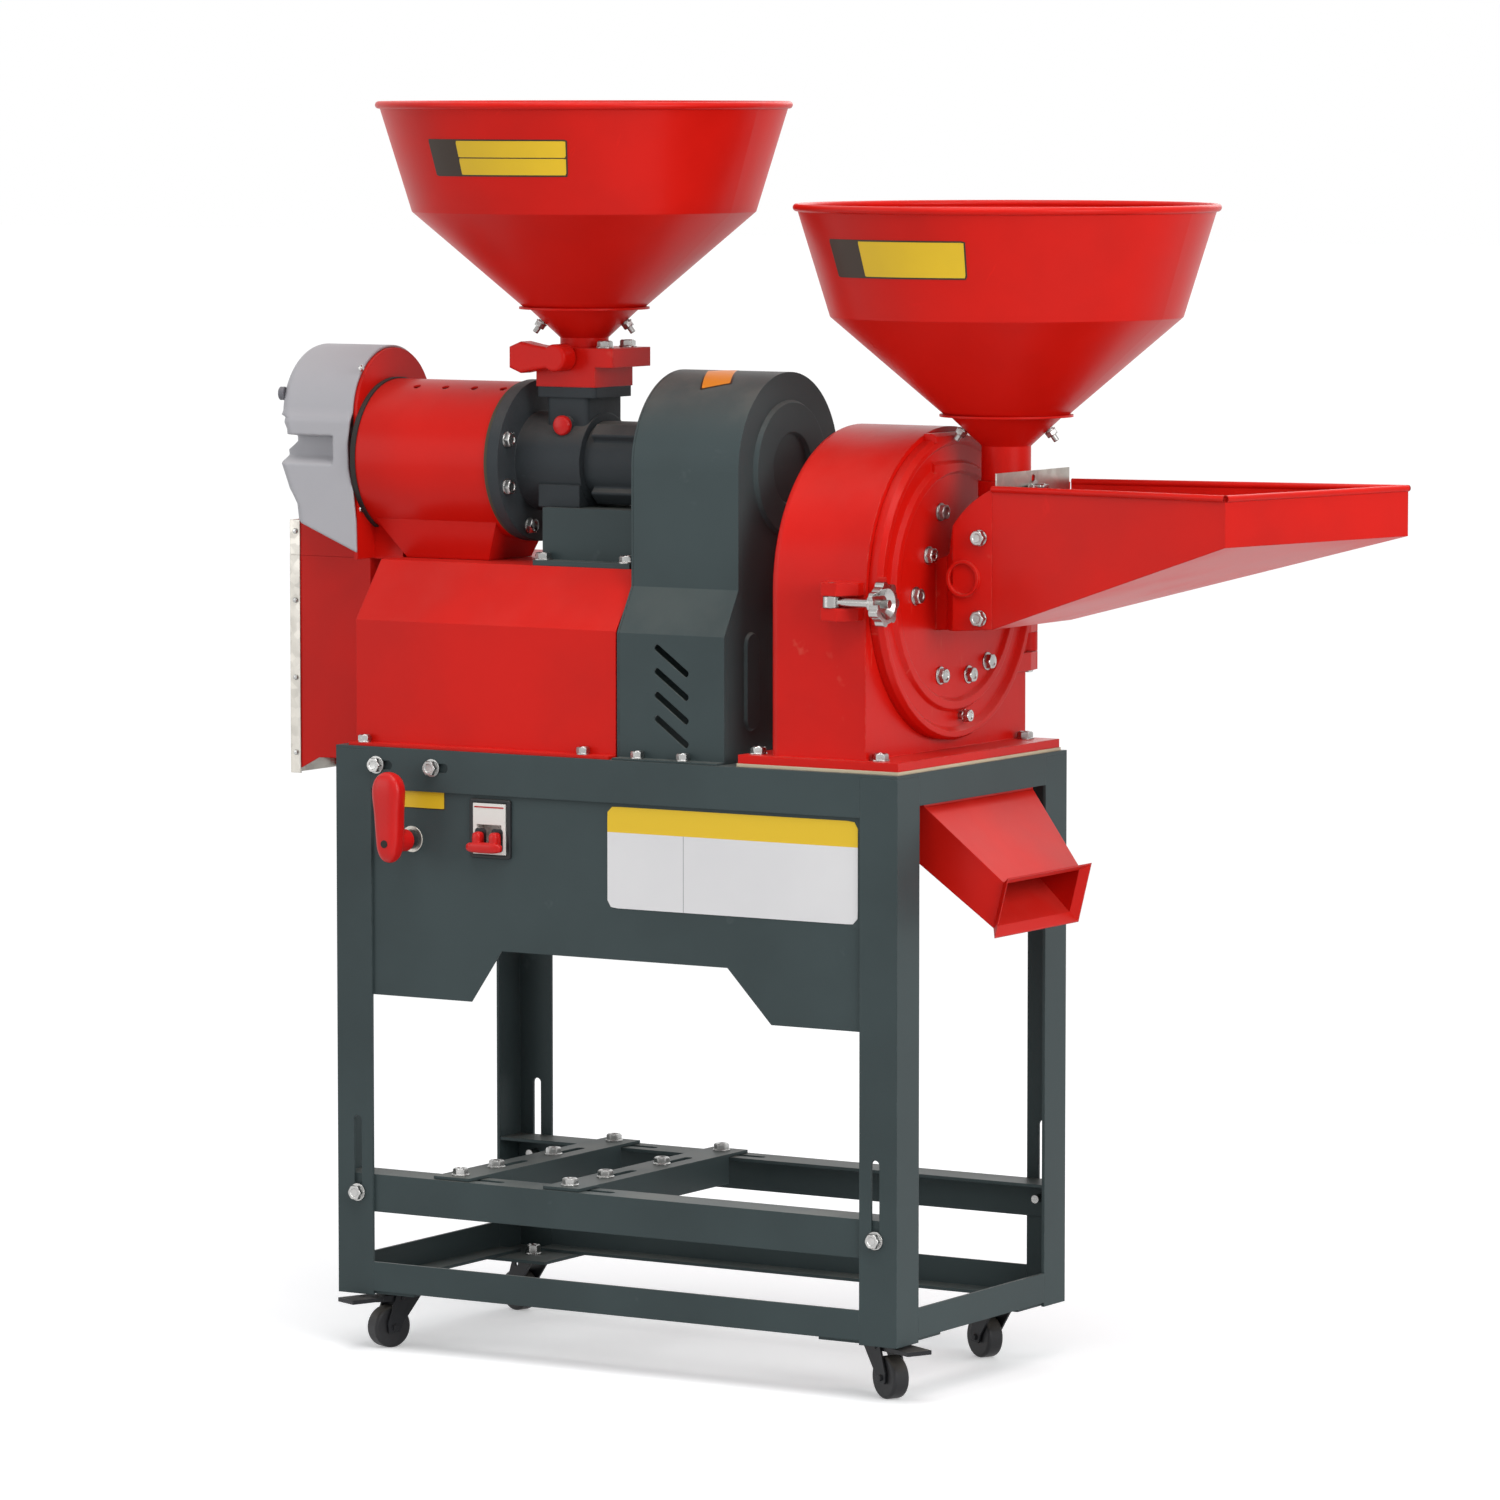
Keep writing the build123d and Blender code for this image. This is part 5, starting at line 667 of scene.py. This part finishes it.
def bolt(place, along, shank, head=6.5, height=5.5, washer=8.5, radius=4.0, steps=48):
    """Bolt on its axis: radius = min(profile, flat / cos(angle from the nearest flat's middle))."""
    top = 1.5 + height
    rows = [(0.0, -shank, 0), (radius, -shank, 0), (radius, 0.0, 0), (washer, 0.0, 0), (washer, 1.1, 0),
            (washer - 0.4, 1.5, 0), (head * 1.3, 1.5, 1), (head * 1.3, top - 1.6, 1),
            (head * 1.09, top - 0.7, 1), (head * 0.95, top, 1), (head * 0.66, top, 0),
            (head * 0.56, top - 0.8, 0), (0.0, top - 1.0, 0)]
    rows = np.array(rows)
    side, other, axis = directions(along)
    angle = np.linspace(0.0, 2.0 * np.pi, steps, endpoint=False)
    from_flat = np.mod(angle, np.pi / 3.0) - np.pi / 6.0
    flat = np.where(rows[:, 2:3] > 0, head / np.cos(from_flat), 1e3)
    reach = np.minimum(rows[:, 0:1], flat)
    ring = np.cos(angle)[:, None] * side + np.sin(angle)[:, None] * other
    points = np.asarray(place, float) + rows[:, 1, None, None] * axis + reach[:, :, None] * ring
    return points.reshape(-1, 3), quads(len(rows), steps)


UP, FRONT, BACK, RIGHT = (0, 0, 1), (0, -1, 0), (0, 1, 0), (1, 0, 0)
small = {"head": 5.5, "washer": 6.2}
print("bolt points:", len(bolt((0, 0, 0), UP, 10.0)[0]))

# %% Bolts of the frame
frame_bolts = [bolt((x, y, 583.0), UP, 9.0, **small) for x in (-404, -157) for y in (-142, 155)]
frame_bolts += [bolt((x, -142, 582.0), UP, 8.0, **small) for x in (-97, -47)]
frame_bolts += [bolt((x, y, 591.0), UP, 20.0) for x in (26, 157) for y in (-127.5, 140.5)]
frame_bolts += [bolt((x, y, 759.0), UP, 12.0) for x in (-239, -145) for y in (-84, 43)]
frame_bolts += [bolt((-197, y, 958.0), UP, 9.0) for y in (-40.5, -0.5)]
ring_angles = np.radians([160, 200, 20, 340, 250, 290])
flange_ring = 65
for a in ring_angles:
    on_ring = (-281.7, MILL_Y + flange_ring * math.cos(a), BARREL_Z + flange_ring * math.sin(a))
    frame_bolts.append(bolt(on_ring, RIGHT, 12.0, washer=7.5))
frame_bolts += [bolt((x, -151.0, 563.0), FRONT, 12.0) for x in (-384.5, -321)]
frame_bolts += [bolt((x, y, 58.0), UP, 9.0, height=8.0) for x in (-384, 142) for y in (-104, 117)]
for lift in (-62, 62):
    pin = [(0, -29.5), (4.2, -29.5), (5, -28.5), (5, 28.5), (4.2, 29.5), (0, 29.5)]
    frame_bolts.append(turned(pin, (143, 170.5, 743 + lift), UP))
frame_bolts.append(turned([(0, -18), (4, -17.5), (4, 17.5), (0, 18)], (122, -155.5, 737), UP))
frame_bolts.append(turned([(0, -4), (3.6, -4), (3.6, 14), (0, 14)], (147, 20, 622), RIGHT))
frame_bolts.append(bolt((160, 20, 622), RIGHT, 1.0, head=5.5, washer=6.0, height=6.0))
detailed = make_piece("frame_bolts_detailed", frame_bolts, finishes["zinc"], "frame", crease=28.0)
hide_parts("frame_bolts")

# %% Bolts of the door and of the motor's rails
door_bolts = [bolt((155.3, 10.5 + y, 743 + z), RIGHT, 8.0)
              for y, z in ((-27, 70), (-49, 31), (-72.5, -5), (-27, -81.5), (25, -84), (60, -74))]
door_bolts += [bolt((218, -52.5, z), FRONT, 4.0, washer=7.5) for z in (793, 719)]
stud = [(0, -7), (2.4, -7), (2.4, 0), (6, 0), (6, 2.0), (3, 2.2), (3, 12), (0, 12.6)]
door_bolts.append(turned(stud, (233.1, CRUSHER_Y, 837), RIGHT))


def on_stud(u, v, lift):
    """Lays the wing nut's plate level across the stud, its long side along Y."""
    return np.stack([238.0 + v, CRUSHER_Y + u, 835.4 + lift], axis=-1)


door_bolts.append(plate(30.0, 8.0, 3.0, 3.4, on_stud, rings=4))
detailed = make_piece("door_bolts_detailed", door_bolts, finishes["zinc"], "door", crease=28.0)
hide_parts("door_bolts")
rail_bolts = [bolt((x, -151.3, 152), FRONT, 18.0) for x in (-408, 166)]
rail_bolts += [bolt((x, 164.3, 152), BACK, 18.0) for x in (-408, 166)]
detailed = make_piece("motor_rail_bolts_detailed", rail_bolts, finishes["zinc"], "motor_frame", crease=28.0)
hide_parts("motor_rail_bolts")
cross_bolts = [bolt((x, y, 173.3), UP, 14.0) for x in (-305, -181) for y in (-128.7, 141.7, 33.0, -67.0)]
detailed = make_piece("cross_rail_bolts_detailed", cross_bolts, finishes["zinc"], "motor_cross", crease=28.0)
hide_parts("cross_rail_bolts")

# %% [markdown]
# ## The outlet hood
# The moulded hood over the rice outlet is a round drum above and a stepped box below, with a pocket that is
# open to the left and a slanting lower edge. It is one sheet: rows run from the back edge over the arch to
# the front edge, columns run from the plate to the left and turn in over the end. The step and the pocket
# push the sheet in or out.

# %% Hood
HOOD_Y, HOOD_Z, HOOD_R = MILL_Y, 889.0, 66.5
HOOD_DROP = 118.0
BACK_ROWS, ARCH_ROWS, FRONT_ROWS = 40, 48, 110


def step(value, edge, width):
    """Smooth step from 0 to 1 around an edge."""
    t = np.clip((value - edge) / width + 0.5, 0.0, 1.0)
    return t * t * (3.0 - 2.0 * t)


def hood_points():
    """Sheet: y = middle + reach * cos a, z = drum or side; reach carries the step, pocket and rounded end."""
    side = np.linspace(0.0, 1.0, FRONT_ROWS)
    arch = np.linspace(0.0, np.pi, ARCH_ROWS + 2)[1:-1]
    is_front = np.concatenate([np.full(BACK_ROWS, -1.0), np.zeros(ARCH_ROWS), np.ones(FRONT_ROWS)])
    drop = np.concatenate([np.linspace(1.0, 0.0, BACK_ROWS), np.zeros(ARCH_ROWS), side])[:, None]
    angle = np.concatenate([np.zeros(BACK_ROWS), arch, np.full(FRONT_ROWS, np.pi)])[:, None]
    run = np.concatenate([np.linspace(0.0, 1.0, 60), np.ones(20)])
    bend = np.concatenate([np.zeros(60), np.linspace(0.0, 1.0, 11)[1:], np.ones(10)])
    inwards = np.concatenate([np.zeros(70), np.linspace(0.0, 1.0, 11)[1:]])
    level = HOOD_Z - drop * HOOD_DROP
    front = (is_front > 0)[:, None]
    left = np.interp(-level, [-889, -886, -879, -871, -855, -840, -830, -799, -787, -770],
                     [-541, -536, -536.5, -533.5, -532.5, -543.2, -542, -531, -522, -520])
    left = np.where(front, left, -541.0)
    right = np.interp(-level, [-889, -864, -841, -824, -797, -760],
                      [-455, -457.6, -456.6, -452, -448.5, -447.5])
    right = np.where(front, right, -455.0)
    corner = 12.0
    x = right + (left + corner - right) * run - corner * np.sin(bend * np.pi / 2.0)
    foot = np.interp(x, [-544, -531, -522, -513, -447], [808, 799, 793, 786, 759])
    z = np.where(drop > 0, HOOD_Z - drop * (HOOD_Z - foot), HOOD_Z)
    inset = corner * (1.0 - np.cos(bend * np.pi / 2.0)) + (HOOD_R - corner) * inwards
    lower = step(-z, -890.0, 16.0)
    pocket = step(-z, -869.5, 2.0) * (1.0 - step(-z, -846.0, 9.0)) * (1.0 - step(x, -476.0, 2.5))
    push = np.where(front, 4.5 * lower - 17.0 * pocket, 0.0) * (1.0 - inwards)
    reach = HOOD_R - inset + push
    y = HOOD_Y + reach * np.cos(angle)
    z = z + np.where(drop > 0, 0.0, reach * np.sin(angle))
    return np.stack([x, y, z], axis=-1)


grid = hood_points()
hood = make_piece("hood_moulding", [(grid.reshape(-1, 3), quads(grid.shape[0], grid.shape[1], False))],
                  finishes["hood_plastic"], "frame", crease=50.0)
wall = hood.modifiers.new("wall", "SOLIDIFY")
wall.thickness = 0.0022
wall.offset = -1.0
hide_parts("outlet_hood")
catch_grey = moulded("catch_grey", paint_level(112, 112, 118), 0.5)
knob = turned([(0, 0), (6.5, 0), (6.5, 4.5), (5.5, 5.5), (0, 5.5)], (-538.5, -79.0, 909.0), (-1, -0.3, 0))
make_piece("hood_catch", [knob], catch_grey, "frame")

# %% [markdown]
# ## The switch handle
# The reversing switch has a broad red lever that narrows to its lower end, where a dark screw holds it. It
# is a stack of flattened ellipses whose width changes with height and closes at both ends. Its hub runs back
# to the panel through a pale washer.

# %% Switch handle


def lever():
    """Lever: at height s its section is a superellipse of half width w(s) and half depth d(s)."""
    s = np.sin(np.linspace(-np.pi / 2.0, np.pi / 2.0, 60))[:, None]
    a = np.linspace(0.0, 2.0 * np.pi, 64, endpoint=False)
    closing = (1.0 - np.abs(s) ** 4.5) ** 0.5
    width = np.interp(s, [-1.0, -0.5, 0.1, 0.6, 1.0], [12.4, 12.6, 14.0, 16.8, 17.2]) * closing
    depth = 10.0 * (1.0 - np.abs(s) ** 7) ** 0.5
    power = 2.0 / 3.2
    x = -346.6 - 1.3 * step(s, 0.0, 1.2) + width * np.sign(np.cos(a)) * np.abs(np.cos(a)) ** power
    y = -184.3 + depth * np.sign(np.sin(a)) * np.abs(np.sin(a)) ** power
    z = 517.5 + 43.0 * s + 0.0 * a
    return np.stack([x, y, z], axis=-1).reshape(-1, 3), quads(60, 64)


hub_profile = [(0, 0), (10.5, 0), (10.5, 20), (9.6, 21), (5.2, 21), (5.2, 40), (0, 40)]
hub = turned(hub_profile, (-346, -180, 494), BACK)
detailed = make_piece("lever_moulding", [lever(), hub], finishes["red_plastic"], "main_switch", crease=40.0)
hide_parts("switch_handle")
hole = turned([(0, 0), (3.7, 0), (3.7, 0.7), (2.6, 0.9), (0, 0.3)], (-346.6, -194.0, 493.0), FRONT)
make_piece("lever_screw", [hole], seam_rubber, "main_switch")
washer = turned([(9, -0.2), (12.5, -0.2), (12.5, 1.0), (12.0, 1.4), (9, 1.4), (9, -0.2)],
                (-346, PANEL_FACE_Y, 494), FRONT)
make_piece("switch_washer", [washer], finishes["galvanised"], "frame")

# %% [markdown]
# ## The breaker's toggles
# The two-pole breaker has two red toggles joined by one bar on its white face. The slots round the toggles
# are flat black plates: painted shade in place of openings.

# %% Breaker


def pad(x, y, z, half, roundness=4.0, rows=24, steps=40):
    """Rounded block: a superellipsoid with half sizes (a, b, c) around a point."""
    t = np.sin(np.linspace(-np.pi / 2.0, np.pi / 2.0, rows))[:, None]
    a = np.linspace(0.0, 2.0 * np.pi, steps, endpoint=False)
    shrink = (1.0 - np.abs(t) ** roundness) ** (1.0 / roundness)
    power = 2.0 / roundness
    px = half[0] * t + 0.0 * a
    py = half[1] * shrink * np.sign(np.cos(a)) * np.abs(np.cos(a)) ** power
    pz = half[2] * shrink * np.sign(np.sin(a)) * np.abs(np.sin(a)) ** power
    return np.stack([x + px, y + py, z + pz], axis=-1).reshape(-1, 3), quads(rows, steps)


pole_x = [BREAKER_X + side * POLE_SPACING for side in (-1, 1)]
toggles = [pad(BREAKER_X, -160.5, 491.5, (19.5, 4.6, 5.0), 3.5)]
toggles += [pad(x, -156.5, 498.5, (4.6, 5.5, 7.5), 3.5) for x in pole_x]
detailed = make_piece("breaker_toggles", toggles, finishes["red_plastic"], "breaker", crease=60.0)
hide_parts("breaker_toggle")
# Painted shade: black plates on the breaker's face stand for the dark slots round the toggles.
slot_shade = [plate(12.5, 22.0, 3.0, 0.3, on_front(x, BREAKER_FACE_Y, 498.0), rings=3) for x in pole_x]
make_piece("breaker_slot_shade", slot_shade, finishes["black_plastic"], "frame")
lines = [plate(33.0, 1.2, 0.3, 0.25, on_front(BREAKER_X, BREAKER_FACE_Y, 529.0), rings=3)]
make_piece("breaker_line", lines, finishes["red_plastic"], "frame")

# %% [markdown]
# ## Rings, cap, screws and the duct's top
# A dark seal closes the barrel at its left end and an olive one at its flange. A red cap covers the oiler on
# the casting. Small round screws hold the duct's strip and the outlet plate, nuts clamp the two collars, and
# the duct reaches up under the hood.

# %% Small parts
seal = [(75.0, -1.5), (75.9, -1.2), (75.9, 3.8), (75.0, 4.2)]
make_piece("barrel_seal", [turned(seal, (-450.0, MILL_Y, BARREL_Z), RIGHT, 120)], seam_rubber, "frame")
joint = [(74.0, -1.0), (75.8, -0.8), (75.8, 3.2), (74.0, 3.4)]
make_piece("flange_seal", [turned(joint, (-297.0, MILL_Y, BARREL_Z), RIGHT, 120)], olive_gasket, "frame")
cap = [(0, -1), (8.4, -1), (9.4, 0), (9.4, 3.5), (8.2, 5.2), (5.0, 6.2), (0, 6.6)]
make_piece("oiler_cap", [turned(cap, (MILL_X, -57.5, 885.0), FRONT)], finishes["red_plastic"], "frame")


def screw(place, along, radius=3.4):
    """Round-headed screw: a flat dome with a broken edge."""
    dome = [(0, -1.0), (radius, -1.0), (radius, 0.8), (radius * 0.8, 1.6), (radius * 0.4, 1.9), (0, 1.9)]
    return turned(dome, place, along, 24)


strip_screws = [screw((-543.0, -57.2, z), FRONT, 2.6) for z in (560, 633, 708, 775)]
strip_screws += [screw((-455.5 + 4.0, y, z), RIGHT) for y, z in ((-78.0, 800.0), (-76.0, 935.0))]
make_piece("duct_screws", strip_screws, finishes["zinc"], "frame")


def collar_nuts(x, y, z):
    """Two nuts with their screw ends, square to a collar's cone on opposite sides."""
    end = [(0, 0), (2.8, 0), (2.8, 11.5), (2.2, 12.0), (0, 12.0)]
    nuts = []
    for turn in (24.0, 214.0):
        way = np.array([math.cos(math.radians(turn)), math.sin(math.radians(turn)), 0.0])
        place = np.array([x, y, z]) + 40.0 * way
        along = 0.57 * way + (0, 0, -0.82)
        nuts.append(bolt(place, along, 1.0, head=5.0, height=4.5, washer=5.6))
        nuts.append(turned(end, place, along, 24))
    return nuts


make_piece("mill_collar_nuts", collar_nuts(MILL_X, MILL_Y, 981.5), finishes["zinc"], "frame")
make_piece("feed_collar_nuts", collar_nuts(CRUSHER_X, CRUSHER_Y, 888.5), finishes["zinc"], "door")

# %% The duct's top under the hood
low, high = box_mm("wind_duct")
DUCT_TOP_Z = 786.0
print("duct, mm:", low.round(1), high.round(1))
u = np.array([0.0, 0.0, 1.0, 1.0])
v = np.array([0.0, 1.0, 1.0, 0.0])


def duct_wall(inset, z):
    """Rectangle of the duct drawn inwards."""
    x = low[0] + inset + (high[0] - low[0] - 2 * inset) * u
    y = low[1] + inset + (high[1] - low[1] - 2 * inset) * v
    return np.stack([x, y, np.full(4, z)], axis=-1)


foot_z = high[2] - 0.2
corners = ((0, foot_z), (0, DUCT_TOP_Z), (1.5, DUCT_TOP_Z), (1.5, foot_z))
walls = np.stack([duct_wall(inset, z) for inset, z in corners])
make_piece("duct_top", [(walls.reshape(-1, 3), quads(4, 4))], finishes["red_paint"], "frame")
strip_low, strip_high = box_mm("duct_cover")
strip_width = strip_high[0] - strip_low[0]
strip_rise = DUCT_TOP_Z - strip_high[2]
middle_x = (strip_low[0] + strip_high[0]) / 2.0
on_duct = on_front(middle_x, low[1], strip_high[2] + strip_rise / 2.0)
strip = plate(strip_width, strip_rise, 0.3, 1.3, on_duct, rings=3)
make_piece("duct_strip_top", [strip], finishes["galvanised"], "frame")
print("strip, mm:", strip_low.round(1), strip_high.round(1))

# %% [markdown]
# ## The floor
# A pale floor that shows the shadow under the casters. The camera and reflections see it nearly white, and
# wholly white far away, while it stays a light grey for the light that bounces onto the object.

# %% Floor
floor_size = 80.0
floor_mesh = bpy.data.meshes.new("floor")
half = floor_size / 2.0
floor_corners = [(-half, -half, 0.0), (half, -half, 0.0), (half, half, 0.0), (-half, half, 0.0)]
floor_mesh.from_pydata(floor_corners, [], [(0, 1, 2, 3)])
floor = bpy.data.objects.new("floor", floor_mesh)
scene.collection.objects.link(floor)
paper = Finish("floor_paper", Specular_IOR_Level=0.1)
paper.shader.inputs["Roughness"].default_value = 0.9
seen_by = paper.add("LightPath")
lift = paper.number("ADD", seen_by.outputs["Is Camera Ray"], seen_by.outputs["Is Glossy Ray"], clamp=True)
away = paper.add("VectorMath", {0: paper.place}, operation="LENGTH").outputs["Value"]
fade_start, fade_end = 1.2, 4.0
far = paper.between(away, fade_start, fade_end)
pale = paper.colours(lift, (0.62, 0.62, 0.62, 1.0), (0.94, 0.94, 0.94, 1.0))
near_only = paper.colours(paper.number("MULTIPLY", far, lift), pale, (0.0, 0.0, 0.0, 1.0))
paper.drive(Base_Color=near_only)
paper.shader.inputs["Emission Color"].default_value = (1.0, 1.0, 1.0, 1.0)
glow = paper.number("MULTIPLY", lift, paper.between(away, fade_start, fade_end, 0.30, 1.0))
paper.drive(Emission_Strength=glow)
floor_mesh.materials.append(paper.material)
print("floor side, metres:", floor_size)
